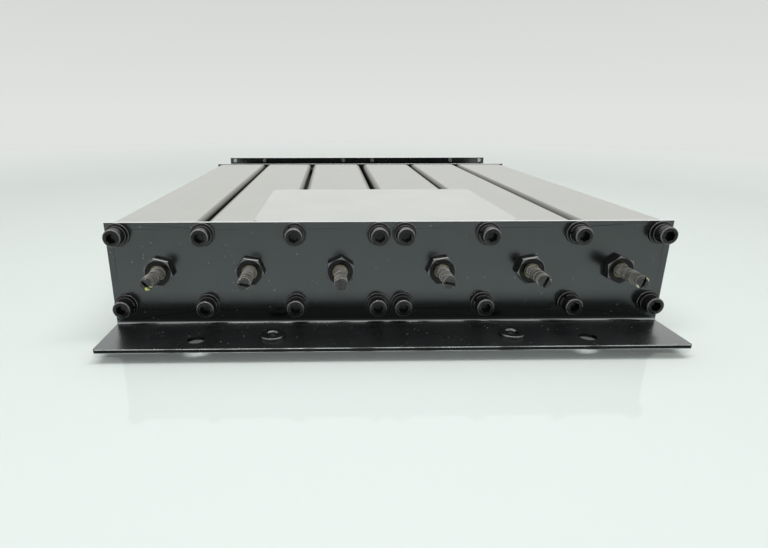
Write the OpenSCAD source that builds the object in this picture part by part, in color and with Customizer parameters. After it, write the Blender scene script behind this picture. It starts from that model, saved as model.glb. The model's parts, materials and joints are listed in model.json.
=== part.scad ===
// Six-cavity mobile duplexer. Two extruded cavity blocks lie side by side between a folded front
// bracket, which carries the tuning screws, and a folded rear channel, which carries the harness and
// three coaxial jacks. X runs across, Y from the foot flange to the jacks, Z up. The origin is at the
// middle of the whole object's footprint, on the surface that it stands on.

/* [Front bracket] */
// Width of the bracket and of the rear channel
body_w = 216; // [190:1:250]
// Height of the upright plate and of the rear channel
body_h = 42.4; // [38:0.2:60]
// Thickness of the folded sheet
sheet_t = 1.6; // [1:0.1:2.4]
// Inner radius of the folds
fold_r = 0.8; // [0.4:0.1:2]
// Reach of the foot flange in front of the plate
foot_depth = 23.5; // [20:0.5:40]
// Corner radius of the foot flange
foot_corner_r = 1.2; // [0.5:0.1:4]

/* [Foot holes] */
// Distance between the two plain holes
plain_span = 146.2; // [120:0.2:180]
// Distance of the plain holes in front of the plate
plain_front = 15.6; // [10:0.2:17]
// Diameter of the plain holes
plain_d = 6.3; // [3:0.1:8]
// Distance between the two clinch nuts
clinch_span = 90.2; // [60:0.2:110]
// Distance of the clinch nuts in front of the plate
clinch_front = 13; // [10:0.2:16]
// Outer diameter of a clinch nut
clinch_d = 9.6; // [8:0.1:12]
// Height of a clinch nut above the flange
clinch_h = 1.1; // [0.6:0.1:3]
// Bore of a clinch nut
clinch_bore_d = 4.2; // [3:0.1:5]

/* [Cavity blocks] */
// Height of the blocks' underside above the underside of the foot
foot_lift = 5.2; // [3:0.1:6]
// Step from the blocks' tops up to the top edges of the folded sheets
top_step = 0.4; // [0:0.1:1.5]
// Step from the blocks' outer sides out to the side edges of the folded sheets
side_overhang = 0.8; // [0:0.1:1.5]
// Length of a block
block_len = 206.8; // [180:0.5:300]
// Gap between the two blocks
block_gap = 2; // [0.6:0.1:6]
// Corner radius of a block's outline
block_r = 3; // [1:0.1:3.6]
// Least wall between neighbouring cavities
cavity_wall = 4.6; // [3:0.1:6]
// Wall between an outer cavity and the block's side
side_wall = 3.5; // [2.5:0.1:6]
// Least wall above and below a cavity
roof_wall = 3.4; // [2.5:0.1:5]
// Width of the long slot over a screw port
slot_w = 1.6; // [1:0.1:4]
// Radius of the slot's rounded shoulders
slot_shoulder_r = 2.3; // [0.4:0.1:2.8]

/* [Rear channel] */
// Clear depth between the end plate and the jack panel
channel_depth = 49.5; // [46:0.5:80]
// Distance of the outer jacks' axes from the channel's sides
jack_edge = 16.4; // [16:0.2:30]

/* [Cap screws] */
// Shank diameter of a cap screw
cap_d = 4.16; // [3.5:0.02:4.4]
// Head diameter of a cap screw
cap_head_d = 6.86; // [6:0.02:8]
// Head height of a cap screw
cap_head_h = 4.17; // [3:0.01:5]
// Hex socket across flats
cap_hex = 3.57; // [2.5:0.01:4]
// Length of a cap screw under its head
cap_len = 12.7; // [8:0.1:16]
// Outer diameter of a flat washer
washer_d = 9.2; // [8:0.1:9.4]
// Thickness of a flat washer
washer_t = 0.8; // [0.5:0.1:1.5]
// Distance of the outermost washers from the edges of the sheets
washer_margin = 0.1; // [0:0.05:0.5]
// Outer diameter of a split lock washer
lock_d = 7.4; // [7:0.1:8]
// Thickness of a split lock washer
lock_t = 1; // [0.6:0.1:1.6]

/* [Tuners] */
// Diameter of a tuning screw
tuner_d = 4.8; // [4:0.1:6]
// Length of a tuning screw
tuner_len = 50.4; // [48:0.1:60]
// Jam nut across flats
nut_af = 9.9; // [9:0.1:12]
// Thickness of a jam nut
nut_t = 3.2; // [2:0.1:5]
// Gap between a tuning cup and the wall of its cavity
cup_gap = 3; // [1:0.1:4]
// Wall of a tuning cup
cup_wall = 1.5; // [0.8:0.1:2]
// Depth of a tuning cup's skirt
cup_skirt = 14; // [8:0.5:18]

/* [Resonators] */
// Gap between a resonator coil and the inside of its tuning cup
coil_gap = 1.4; // [0.8:0.1:3]
// Diameter of the coil wire
coil_wire_d = 2.2; // [1.5:0.1:2.5]
// Number of turns
coil_turns = 14; // [8:1:18]
// Distance of the coil's open end behind the plate's face
coil_start = 50; // [48:0.5:60]
// Distance of the coil's grounded end in front of the end plate
coil_foot = 20; // [18:0.5:30]
// Wire diameter of a coupling loop
loop_wire_d = 1.6; // [1:0.1:1.8]

/* [Harness] */
// Outer diameter of the coaxial cable
cable_d = 4.9; // [4:0.1:5]
// Half the distance between the two cables of a cavity
port_half = 5; // [4.6:0.1:6]
// Distance of the cable ports from the cavity's wall
port_wall = 3; // [2.6:0.1:4]
// Straight run of a link between two cavities, before its bend
link_run = 8; // [2:0.5:12]

/* [Jacks] */
// Side of a jack's square flange
jack_flange = 25.4; // [24.5:0.1:26]
// Thickness of a jack's flange
jack_flange_t = 1.6; // [1.2:0.1:3]
// Distance of a jack's screws from the edges of its flange
jack_screw_edge = 3.57; // [3:0.01:4]
// Outer diameter of a jack's barrel
barrel_d = 15.88; // [14:0.02:16.4]
// Length of a jack's barrel from its flange
barrel_len = 14.3; // [12:0.1:18]
// Wall of a jack's barrel
barrel_wall = 2.34; // [1.5:0.02:2.6]
// Depth of the insulator's face in the barrel's mouth
insulator_depth = 7.5; // [6:0.1:10]
// Diameter of a jack's spigot through the panel
spigot_d = 12; // [11:0.1:13]
// Length of a jack's spigot behind its flange
spigot_len = 7; // [6.4:0.1:9]
// Length of the hood on a jack's rear end
hood_len = 15; // [14:0.5:17]

/* [Sticker] */
// Width of the sticker
sticker_w = 102; // [60:1:140]
// Length of the sticker along the blocks
sticker_len = 80; // [40:1:120]
// Thickness of the sticker
sticker_t = 0.2; // [0.1:0.05:0.5]
// Corner radius of the sticker
sticker_r = 4; // [1:0.5:8]

/* [Hidden] */
$fn = 48;
// What joined solids share, and how far a cut runs past the surface that it opens
eps = 0.01;
over = 1;

// Clearances: a screw in its hole, a turning or sliding fit, and a pressed or soldered seat
hole_clear = 0.17;
thread_clear = 0.07;
run_clear = 0.05;

// Each tuner as it stands, from left to right: how far its tip reaches in front of the plate, and the
// angles of its slot and of its jam nut, both positive where the right side is turned upwards
tuner_tip = [17.2, 17.6, 18.6, 17.6, 17.0, 18.6];
slot_angle = [-48, -12, -82, -9, 68, 76];
nut_angle = [-14, -8, 25, 8, 10, 37];

// Stations along Y, measured from the front face of the upright plate
plate_back = sheet_t;
end_front = plate_back + block_len;
end_back = end_front + sheet_t;
panel_front = end_back + channel_depth;
panel_back = panel_front + sheet_t;
jack_face = panel_back + jack_flange_t;
jack_end = jack_face + barrel_len;
mid_y = (jack_end - foot_depth) / 2;

// The blocks and their cavities are as large as the folded sheets leave room for
block_w = (body_w - block_gap) / 2 - side_overhang;
block_h = body_h - foot_lift - top_step;
cavity_d = min((block_w - 2 * side_wall - 2 * cavity_wall) / 3, block_h - 2 * roof_wall);
cavity_pitch = (block_w - 2 * side_wall - cavity_d) / 2;
cup_d = cavity_d - 2 * cup_gap;
coil_d = cup_d - 2 * cup_wall - 2 * coil_gap - coil_wire_d;

// Levels and places across
axis_z = foot_lift + block_h / 2;
screw_row = body_h - washer_margin - washer_d / 2 - axis_z;
screw_edge = washer_d / 2 + washer_margin - side_overhang;
port_drop = sqrt(pow(cavity_d / 2 - port_wall, 2) - pow(port_half, 2));
jack_z = body_h / 2;
jack_span = body_w / 2 - jack_edge;
jack_pitch = jack_flange - 2 * jack_screw_edge;
block_top = axis_z + block_h / 2;
block_mid = (block_gap + block_w) / 2;
cavity_x = [for (side = [-1, 1]) for (i = [-1, 0, 1]) side * block_mid + i * cavity_pitch];
port_x = [for (side = [-1, 1]) for (i = [-0.5, 0.5]) side * block_mid + i * cavity_pitch];
corner_x = [for (side = [-1, 1]) for (i = [-1, 1]) side * block_mid + i * (block_w / 2 - screw_edge)];
screw_x = concat(port_x, corner_x);
screw_z = [axis_z - screw_row, axis_z + screw_row];
jack_x = [-jack_span, 0, jack_span];
port_z = axis_z - port_drop;

// Cap screws and their holes
cap_hole_d = cap_d + 2 * hole_clear;
tapped_d = cap_d + 2 * thread_clear;
cap_depth = cap_len - washer_t - lock_t - sheet_t;
tap_runout = 4;
tapped_len = cap_depth + tap_runout;
socket_depth = cap_head_h / 2;
head_edge = 0.4;
point_edge = 0.5;
lock_gap = 1.1;

// Clinch nuts: the step onto the flange, the bevel of the rim and the lead of the bore
clinch_step = 1;
clinch_edge = 0.3;
clinch_lead = 0.6;

// Bushings, nuts and tuning cups
bushing_wall = 1.1;
bushing_step = 1.3;
bushing_d = tuner_d + 2 * bushing_wall;
bushing_flange_d = bushing_d + 2 * bushing_step;
bushing_flange_t = 1.2;
bushing_len = 8;
tuner_bore_d = tuner_d + 2 * run_clear;
nut_chamfer = 0.55;
nut_lead = 0.5;
tip_slot_w = 1;
tip_slot_depth = 1.6;
tip_edge = 0.4;
collar_step = 1;
collar_d = tuner_d + 2 * collar_step;
collar_t = 0.8;
hub_wall = 2.5;
cup_hub_d = tuner_d + 2 * hub_wall;
cup_hub_len = 8;
cup_base_t = 2;
peen_edge = 0.8;
peen_t = 1;

// Coils and formers
coil_steps = 10;
wire_sides = 5;
tail_bend_r = 3;
coil_end = end_front - coil_foot;
former_gap = 0.2;
former_wall = 2.8;
former_lead = 4;
former_d = coil_d * cos(180 / coil_steps) - coil_wire_d - 2 * former_gap;
former_bore_d = former_d - 2 * former_wall;
former_start = coil_start - former_lead;
former_solid = 14;
former_screw_d = 3;
former_screw_len = 10;
small_head_d = 5.6;
small_head_h = 2.1;
small_head_edge = 0.6;
small_slot_w = 0.8;

// Ferrules and coupling loops
ferrule_barrel_d = 4.8;
ferrule_flange_d = 8;
ferrule_flange_t = 1.2;
ferrule_wall = 0.75;
ferrule_cup_d = cable_d + 2 * ferrule_wall;
ferrule_len = 7;
ferrule_stop = 3;
cable_seat = end_back + ferrule_stop;
ferrule_end = end_back + ferrule_len;
loop_reach = 6;

// Inner form of a jack
barrel_bore_d = barrel_d - 2 * barrel_wall;
castle_w = 1.6;
castle_depth = 1;
barrel_floor = 1;
barrel_depth = barrel_len - barrel_floor;
spigot_wall = 1.4;
shell_bore_d = spigot_d - 2 * spigot_wall;
insulator_face = jack_end - insulator_depth;
contact_d = 6;
contact_edge = 0.4;
contact_setback = 1;
contact_tail = 5;
contact_bore_d = 4.1;
contact_bore_depth = 4.5;
contact_slot_w = 0.5;
contact_tip = jack_end - contact_setback;
stem_d = 3;
contact_rear = panel_back - spigot_len - contact_tail;
hood_wall = 0.8;
hood_d = spigot_d + 2 * run_clear + 2 * hood_wall;
hood_gap = 1.2;
hood_front = panel_front - hood_gap;
hood_rear = hood_front - hood_len;
cable_gap = 0.35;
cable_pair = cable_d / 2 + cable_gap;
cable_in_hood = 3;
cable_sides = 14;
feed_steps = 9;
jack_screw_d = 2.8;
jack_hole_d = jack_screw_d + 2 * hole_clear;
jack_screw_head_d = 5.4;
jack_screw_head_h = 1.9;
jack_nut_af = 5.5;
jack_nut_t = 2;
jack_screw_tail = 1;
jack_screw_len = jack_flange_t + sheet_t + jack_nut_t + jack_screw_tail;
rivet_d = 2.4;
rivet_tail = 0.5;
rivet_edge = 0.4;
rivet_head_d = 3.8;
rivet_head_h = 0.8;
rivet_drop = 2.2;
rivet_half = 12.4;

// The sticker lies a little to the left of the middle and just behind the plate
sticker_shift = 1.6;
sticker_setback = 0.3;

// Helpers

module placed() {
  translate([0, -mid_y, 0]) children();
}

// A cylinder that lies along Y, from station y1 to station y2
module along(d, y1, y2, sides = 48) {
  translate([0, y1, 0]) rotate([-90, 0, 0]) cylinder(h = y2 - y1, d = d, $fn = sides);
}

// A hexagonal prism along Y with the given width across flats
module hex_along(af, y1, y2) {
  translate([0, y1, 0]) rotate([-90, 0, 0]) cylinder(h = y2 - y1, d = af / cos(30), $fn = 6);
}

// A solid of revolution about a line along Y. The profile's x is the radius and its y the station.
module revolved() {
  rotate([-90, 0, 0]) rotate_extrude($fn = 64) children();
}

// A profile drawn in Y and Z, drawn out across the whole width
module across(w) {
  translate([-w / 2, 0, 0]) rotate([90, 0, 90]) linear_extrude(height = w) children();
}

// The quarter ring of a fold whose outer corner would be at the origin
module fold_corner() {
  outer = sheet_t + fold_r;
  intersection() {
    difference() {
      translate([outer, outer]) circle(r = outer, $fn = 64);
      translate([outer, outer]) circle(r = fold_r, $fn = 64);
    }
    square([outer, outer]);
  }
}

// A closed tube through a list of rings, each a list of points in the same order
module swept(rings) {
  n = len(rings[0]);
  count = len(rings);
  points = [for (ring = rings) for (p = ring) p];
  side_faces = [for (i = [0:count - 2]) for (j = [0:n - 1]) for (half = [0, 1])
    half == 0 ? [i * n + j, i * n + (j + 1) % n, (i + 1) * n + (j + 1) % n]
              : [i * n + j, (i + 1) * n + (j + 1) % n, (i + 1) * n + j]];
  first_face = [[for (j = [0:n - 1]) n - 1 - j]];
  last_face = [[for (j = [0:n - 1]) (count - 1) * n + j]];
  polyhedron(points = points, faces = concat(first_face, side_faces, last_face));
}

// Places the children at all cap screws of one end
module at_cap_screws() {
  for (x = screw_x) for (z = screw_z) translate([x, 0, z]) children();
}

module at_cavities() {
  for (x = cavity_x) translate([x, 0, axis_z]) children();
}

module at_jacks() {
  for (x = jack_x) translate([x, 0, jack_z]) children();
}

module at_jack_screws() {
  for (x = jack_x) for (i = [-1, 1]) for (k = [-1, 1])
    translate([x + i * jack_pitch / 2, 0, jack_z + k * jack_pitch / 2]) children();
}

module at_rivets() {
  for (x = jack_x) for (i = [-1, 1]) translate([x + i * rivet_half, 0, body_h - rivet_drop]) children();
}

module at_ports() {
  for (x = cavity_x) for (i = [-1, 1]) translate([x + i * port_half, 0, port_z]) children();
}

// Sheet metal

module front_bracket() {
  outer = sheet_t + fold_r;
  color([0.05, 0.05, 0.055]) placed() difference() {
    across(body_w) union() {
      translate([sheet_t, 0]) mirror([1, 0]) fold_corner();
      translate([0, outer]) square([sheet_t, body_h - outer]);
      translate([-foot_depth, 0]) square([foot_depth + sheet_t - outer, sheet_t]);
    }
    at_cap_screws() along(cap_hole_d, -over, sheet_t + over);
    at_cavities() along(bushing_d, -over, sheet_t + over);
    for (i = [-1, 1]) {
      translate([i * plain_span / 2, -plain_front, -over]) cylinder(h = sheet_t + 2 * over, d = plain_d);
      translate([i * clinch_span / 2, -clinch_front, -over])
        cylinder(h = sheet_t + 2 * over, d = clinch_d - 2 * clinch_step);
      translate([i * body_w / 2, -foot_depth, -over]) mirror([i > 0 ? 1 : 0, 0, 0]) difference() {
        translate([-over, -over, 0])
          cube([foot_corner_r + over, foot_corner_r + over, sheet_t + 2 * over]);
        translate([foot_corner_r, foot_corner_r, -over]) cylinder(h = sheet_t + 4 * over, r = foot_corner_r);
      }
    }
  }
}

module rear_channel() {
  outer = sheet_t + fold_r;
  color([0.05, 0.05, 0.055]) placed() difference() {
    across(body_w) union() {
      translate([end_front, 0]) fold_corner();
      translate([end_front, outer]) square([sheet_t, body_h - outer]);
      translate([end_front + outer, 0]) square([panel_back - end_front - 2 * outer, sheet_t]);
      translate([panel_back, 0]) mirror([1, 0]) fold_corner();
      translate([panel_front, outer]) square([sheet_t, body_h - outer]);
    }
    at_cap_screws() along(cap_hole_d, end_front - over, end_back + over);
    at_cavities() along(former_screw_d + 2 * hole_clear, end_front - over, end_back + over);
    at_ports() along(ferrule_barrel_d + 2 * run_clear, end_front - over, end_back + over);
    at_jacks() along(spigot_d + 2 * run_clear, panel_front - over, panel_back + over);
    at_jack_screws() along(jack_hole_d, panel_front - over, panel_back + over);
    at_rivets() along(rivet_d + 2 * run_clear, panel_front - over, panel_back + over);
  }
}

// Cavity blocks

// The slot over one screw port, with rounded shoulders at the surface. The port's centre is the origin.
module port_outline(depth) {
  circle(d = tapped_d, $fn = 48);
  translate([-slot_w / 2, 0]) square([slot_w, depth + over]);
  difference() {
    translate([-slot_w / 2 - slot_shoulder_r, depth - slot_shoulder_r])
      square([slot_w + 2 * slot_shoulder_r, slot_shoulder_r + over]);
    for (i = [-1, 1]) translate([i * (slot_w / 2 + slot_shoulder_r), depth - slot_shoulder_r])
      circle(r = slot_shoulder_r, $fn = 48);
  }
}

module block_outline() {
  difference() {
    union() {
      square([block_w - 2 * block_r, block_h], center = true);
      square([block_w, block_h - 2 * block_r], center = true);
      for (i = [-1, 1]) for (k = [-1, 1])
        translate([i * (block_w / 2 - block_r), k * (block_h / 2 - block_r)]) circle(r = block_r, $fn = 64);
    }
    for (i = [-1, 0, 1]) translate([i * cavity_pitch, 0]) circle(d = cavity_d, $fn = 96);
    for (i = [-0.5, 0.5]) for (k = [0, 1]) mirror([0, k])
      translate([i * cavity_pitch, screw_row]) port_outline(block_h / 2 - screw_row);
  }
}

module cavity_block(side) {
  color([0.72, 0.72, 0.7]) placed() translate([side * block_mid, 0, axis_z]) difference() {
    translate([0, end_front, 0]) rotate([90, 0, 0]) linear_extrude(height = block_len) block_outline();
    for (i = [-1, 1]) for (k = [-1, 1]) translate([i * (block_w / 2 - screw_edge), 0, k * screw_row]) {
      along(tapped_d, plate_back - over, plate_back + tapped_len);
      along(tapped_d, end_front - tapped_len, end_front + over);
    }
  }
}

module left_cavity_block() { cavity_block(-1); }
module right_cavity_block() { cavity_block(1); }

module sticker() {
  color([0.82, 0.83, 0.8]) placed()
    translate([-sticker_w / 2 - sticker_shift, plate_back + sticker_setback, block_top])
    linear_extrude(height = sticker_t) union() {
      translate([sticker_r, 0]) square([sticker_w - 2 * sticker_r, sticker_len]);
      translate([0, sticker_r]) square([sticker_w, sticker_len - 2 * sticker_r]);
      for (x = [sticker_r, sticker_w - sticker_r]) for (y = [sticker_r, sticker_len - sticker_r])
        translate([x, y]) circle(r = sticker_r);
    }
}

// Fasteners. Each is drawn with its seat at the origin and its head towards -Y.

module cap_screw() {
  difference() {
    revolved() polygon([
      [0, -cap_head_h], [cap_head_d / 2 - head_edge, -cap_head_h], [cap_head_d / 2, -cap_head_h + head_edge],
      [cap_head_d / 2, 0], [cap_d / 2, 0], [cap_d / 2, cap_len - point_edge],
      [cap_d / 2 - point_edge, cap_len], [0, cap_len]
    ]);
    hex_along(cap_hex, -cap_head_h - over, -cap_head_h + socket_depth);
  }
}

module flat_washer() {
  difference() {
    along(washer_d, -washer_t, 0);
    along(cap_hole_d, -washer_t - over, over);
  }
}

module lock_washer() {
  difference() {
    along(lock_d, -lock_t, 0);
    along(cap_hole_d, -lock_t - over, over);
    translate([0, -lock_t - over, -lock_gap / 2]) cube([lock_d, lock_t + 2 * over, lock_gap]);
  }
}

// The same seats on the end plate, whose fasteners point the other way
module at_rear_cap_screws() {
  at_cap_screws() translate([0, end_back, 0]) rotate([0, 0, 180]) children();
}

module front_cap_screws() {
  color([0.06, 0.06, 0.065]) placed() at_cap_screws() translate([0, -washer_t - lock_t, 0]) cap_screw();
}

// Each split ring lies turned a little further than the last one, as they fall in assembly
module front_lock_washers() {
  color([0.06, 0.06, 0.065]) placed() for (i = [0:len(screw_x) - 1]) for (k = [0, 1])
    translate([screw_x[i], -washer_t, screw_z[k]]) rotate([0, 75 * i + 140 * k, 0]) lock_washer();
}

module front_flat_washers() {
  color([0.06, 0.06, 0.065]) placed() at_cap_screws() flat_washer();
}

module rear_cap_screws() {
  color([0.06, 0.06, 0.065]) placed() at_rear_cap_screws() translate([0, -washer_t - lock_t, 0]) cap_screw();
}

module rear_lock_washers() {
  color([0.06, 0.06, 0.065]) placed() at_rear_cap_screws() translate([0, -washer_t, 0]) lock_washer();
}

module rear_flat_washers() {
  color([0.06, 0.06, 0.065]) placed() at_rear_cap_screws() flat_washer();
}

module clinch_nuts() {
  bore_r = clinch_bore_d / 2;
  shank_r = clinch_d / 2 - clinch_step - run_clear;
  top = sheet_t + clinch_h;
  color([0.62, 0.62, 0.6]) placed() for (i = [-1, 1]) translate([i * clinch_span / 2, -clinch_front, 0])
    rotate_extrude($fn = 64) polygon([
      [bore_r, 0], [shank_r, 0], [shank_r, sheet_t], [clinch_d / 2, sheet_t], [clinch_d / 2, top - clinch_edge],
      [clinch_d / 2 - clinch_edge, top], [bore_r + clinch_lead, top], [bore_r, top - clinch_lead]
    ]);
}

module panel_rivets() {
  color([0.75, 0.75, 0.74]) placed() at_rivets() revolved() polygon([
    [0, panel_front - rivet_head_h], [rivet_d / 2 + rivet_tail / 2, panel_front - rivet_head_h],
    [rivet_d / 2 + rivet_tail, panel_front], [rivet_d / 2, panel_front], [rivet_d / 2, panel_back],
    [rivet_head_d / 2, panel_back], [rivet_head_d / 2 - rivet_edge, panel_back + rivet_head_h],
    [0, panel_back + rivet_head_h]
  ]);
}

// Tuners

module tuning_bushings() {
  color([0.75, 0.6, 0.3]) placed() at_cavities() revolved() polygon([
    [tuner_bore_d / 2, 0], [bushing_d / 2 - run_clear, 0], [bushing_d / 2 - run_clear, plate_back],
    [bushing_flange_d / 2, plate_back], [bushing_flange_d / 2, plate_back + bushing_flange_t],
    [bushing_d / 2 - run_clear, plate_back + bushing_flange_t],
    [bushing_d / 2 - run_clear, bushing_len], [tuner_bore_d / 2, bushing_len]
  ]);
}

// The turned screw: a slotted tip, a plain shaft for the thread, a collar, and a headed journal on which
// the tuning cup swivels
module tuning_screw(n) {
  tip = -tuner_tip[n - 1];
  hub_1 = hub_start(n);
  hub_2 = hub_1 + cup_hub_len;
  r = tuner_d / 2;
  color([0.1, 0.1, 0.1]) placed() translate([cavity_x[n - 1], 0, axis_z]) difference() {
    revolved() polygon([
      [0, tip], [r - tip_edge, tip], [r, tip + tip_edge],
      [r, hub_1 - collar_t], [collar_d / 2, hub_1 - collar_t], [collar_d / 2, hub_1 - run_clear],
      [r, hub_1 - run_clear], [r, hub_2 + run_clear], [r + peen_edge, hub_2 + run_clear],
      [r + peen_edge, hub_2 + peen_t - tip_edge], [r, hub_2 + peen_t], [0, hub_2 + peen_t]
    ]);
    rotate([0, -slot_angle[n - 1], 0]) translate([-tuner_d, tip - over, -tip_slot_w / 2])
      cube([2 * tuner_d, tip_slot_depth + over, tip_slot_w]);
  }
}

// Where the hub of a tuning cup begins: the screws are all one length, so a screw that stands further out
// holds its cup nearer to the plate
function hub_start(n) = tuner_len - peen_t - cup_hub_len - tuner_tip[n - 1];

module jam_nut(n) {
  r = nut_af / 2 / cos(30);
  color([0.09, 0.09, 0.09]) placed() translate([cavity_x[n - 1], 0, axis_z]) rotate([0, -nut_angle[n - 1], 0])
    difference() {
      intersection() {
        hex_along(nut_af, -nut_t, 0);
        revolved() polygon([
          [0, -nut_t], [r - nut_chamfer, -nut_t], [r, -nut_t + nut_chamfer / 2],
          [r, -nut_chamfer / 2], [r - nut_chamfer, 0], [0, 0]
        ]);
      }
      along(tuner_bore_d, -nut_t - over, over);
      revolved() polygon([
        [0, -nut_t - eps], [tuner_bore_d / 2 + nut_lead, -nut_t - eps],
        [tuner_bore_d / 2 - eps, -nut_t + nut_lead], [0, -nut_t + nut_lead]
      ]);
    }
}

module tuning_cup(n) {
  hub_1 = hub_start(n);
  hub_2 = hub_1 + cup_hub_len;
  base = hub_2 - cup_base_t;
  color([0.78, 0.62, 0.32]) placed() translate([cavity_x[n - 1], 0, axis_z]) revolved() polygon([
    [tuner_bore_d / 2, hub_1], [cup_hub_d / 2, hub_1], [cup_hub_d / 2, base],
    [cup_d / 2, base], [cup_d / 2, base + cup_skirt], [cup_d / 2 - cup_wall, base + cup_skirt],
    [cup_d / 2 - cup_wall, hub_2], [tuner_bore_d / 2, hub_2]
  ]);
}

module tuning_screw_1() { tuning_screw(1); }
module tuning_screw_2() { tuning_screw(2); }
module tuning_screw_3() { tuning_screw(3); }
module tuning_screw_4() { tuning_screw(4); }
module tuning_screw_5() { tuning_screw(5); }
module tuning_screw_6() { tuning_screw(6); }
module jam_nut_1() { jam_nut(1); }
module jam_nut_2() { jam_nut(2); }
module jam_nut_3() { jam_nut(3); }
module jam_nut_4() { jam_nut(4); }
module jam_nut_5() { jam_nut(5); }
module jam_nut_6() { jam_nut(6); }
module tuning_cup_1() { tuning_cup(1); }
module tuning_cup_2() { tuning_cup(2); }
module tuning_cup_3() { tuning_cup(3); }
module tuning_cup_4() { tuning_cup(4); }
module tuning_cup_5() { tuning_cup(5); }
module tuning_cup_6() { tuning_cup(6); }

// Resonators

// Centres and lead angles of the wire, along the winding and then down its grounded tail. The winding's
// axis is Z here. Each entry is [centre, lead angle, angle about the axis].
coil_rise = coil_end - coil_start;
coil_lead = atan(coil_rise / (coil_turns * PI * coil_d));
winding = [for (i = [0:coil_turns * coil_steps]) let (a = 360 * i / coil_steps)
  [[coil_d / 2 * cos(a), coil_d / 2 * sin(a), coil_rise * i / (coil_turns * coil_steps)], coil_lead, a]];
tail_bend = [for (k = [1:4]) let (lead = coil_lead + (90 - coil_lead) * k / 4)
  [[coil_d / 2, tail_bend_r * (sin(lead) - sin(coil_lead)), coil_rise + tail_bend_r * (cos(coil_lead) - cos(lead))],
   lead, 0]];
tail_foot = [[[coil_d / 2, tail_bend_r * (1 - sin(coil_lead)), coil_rise + coil_foot], 90, 0]];
coil_path = concat(winding, tail_bend, tail_foot);

function wire_ring(stop) = let (c = stop[0], lead = stop[1], a = stop[2])
  [for (j = [0:wire_sides - 1]) let (b = 360 * j / wire_sides)
    c + coil_wire_d / 2 * (cos(b) * [cos(a), sin(a), 0]
      + sin(b) * [sin(a) * sin(lead), -cos(a) * sin(lead), cos(lead)])];

module coil_wire() {
  swept([for (stop = coil_path) wire_ring(stop)]);
}

module resonator_coil(n) {
  color([0.75, 0.45, 0.3]) placed() translate([cavity_x[n - 1], coil_start, axis_z]) rotate([-90, 0, 0])
    coil_wire();
}

module resonator_coil_1() { resonator_coil(1); }
module resonator_coil_2() { resonator_coil(2); }
module resonator_coil_3() { resonator_coil(3); }
module resonator_coil_4() { resonator_coil(4); }
module resonator_coil_5() { resonator_coil(5); }
module resonator_coil_6() { resonator_coil(6); }

module coil_formers() {
  color([0.9, 0.9, 0.86]) placed() at_cavities() difference() {
    along(former_d, former_start, end_front);
    along(former_bore_d, former_start - over, end_front - former_solid);
    along(former_screw_d + 2 * thread_clear, end_front - former_screw_len - over, end_front + over);
  }
}

module pan_screw(d, len, head_d, head_h) {
  difference() {
    revolved() polygon([
      [0, -head_h], [head_d / 2 - small_head_edge, -head_h], [head_d / 2, -head_h + small_head_edge],
      [head_d / 2, 0], [d / 2, 0], [d / 2, len], [0, len]
    ]);
    translate([-head_d, -head_h - over, -small_slot_w / 2]) cube([2 * head_d, over + head_h / 2, small_slot_w]);
  }
}

module former_screws() {
  color([0.7, 0.7, 0.68]) placed() at_cavities() translate([0, end_back, 0]) rotate([0, 0, 180])
    pan_screw(former_screw_d, former_screw_len, small_head_d, small_head_h);
}

// A wire that runs from one ferrule of a cavity to the other, with a half turn inside the cavity
module coupling_loops() {
  color([0.75, 0.45, 0.3]) placed() for (x = cavity_x) translate([x, 0, port_z]) {
    for (i = [-1, 1]) translate([i * port_half, 0, 0])
      along(loop_wire_d, end_front - loop_reach, cable_seat);
    translate([0, end_front - loop_reach, 0]) rotate([0, 0, 180]) rotate_extrude(angle = 180, $fn = 64)
      translate([port_half, 0]) circle(d = loop_wire_d, $fn = 24);
  }
}

module cable_ferrules() {
  wire_bore = loop_wire_d / 2 + run_clear;
  cable_bore = cable_d / 2 + run_clear;
  color([0.75, 0.6, 0.3]) placed() at_ports() revolved() polygon([
    [wire_bore, end_front], [ferrule_barrel_d / 2, end_front], [ferrule_barrel_d / 2, end_back],
    [ferrule_flange_d / 2, end_back], [ferrule_flange_d / 2, end_back + ferrule_flange_t],
    [ferrule_cup_d / 2, end_back + ferrule_flange_t], [ferrule_cup_d / 2, ferrule_end],
    [cable_bore, ferrule_end], [cable_bore, cable_seat], [wire_bore, cable_seat]
  ]);
}

// Jacks

module jack(i) {
  color([0.72, 0.72, 0.7]) placed() translate([jack_x[i], 0, jack_z]) difference() {
    union() {
      translate([-jack_flange / 2, panel_back, -jack_flange / 2])
        cube([jack_flange, jack_flange_t, jack_flange]);
      along(barrel_d, jack_face - eps, jack_end);
      along(spigot_d, panel_back - spigot_len, panel_back + eps);
    }
    along(barrel_bore_d, jack_end - barrel_depth, jack_end + over);
    along(shell_bore_d, panel_back - spigot_len - over, jack_end);
    for (k = [0, 90]) rotate([0, k, 0]) translate([-barrel_d, jack_end - castle_depth, -castle_w / 2])
      cube([2 * barrel_d, castle_depth + over, castle_w]);
    for (a = [-1, 1]) for (b = [-1, 1]) translate([a * jack_pitch / 2, 0, b * jack_pitch / 2])
      along(jack_hole_d, panel_back - over, jack_face + over);
  }
}

module low_jack() { jack(0); }
module antenna_jack() { jack(1); }
module high_jack() { jack(2); }

module jack_insulators() {
  color([0.9, 0.89, 0.84]) placed() at_jacks() revolved() polygon([
    [stem_d / 2 + run_clear, panel_back - spigot_len], [shell_bore_d / 2 - run_clear, panel_back - spigot_len],
    [shell_bore_d / 2 - run_clear, jack_end - barrel_depth],
    [barrel_bore_d / 2 - run_clear, jack_end - barrel_depth], [barrel_bore_d / 2 - run_clear, insulator_face],
    [stem_d / 2 + run_clear, insulator_face]
  ]);
}

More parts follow.
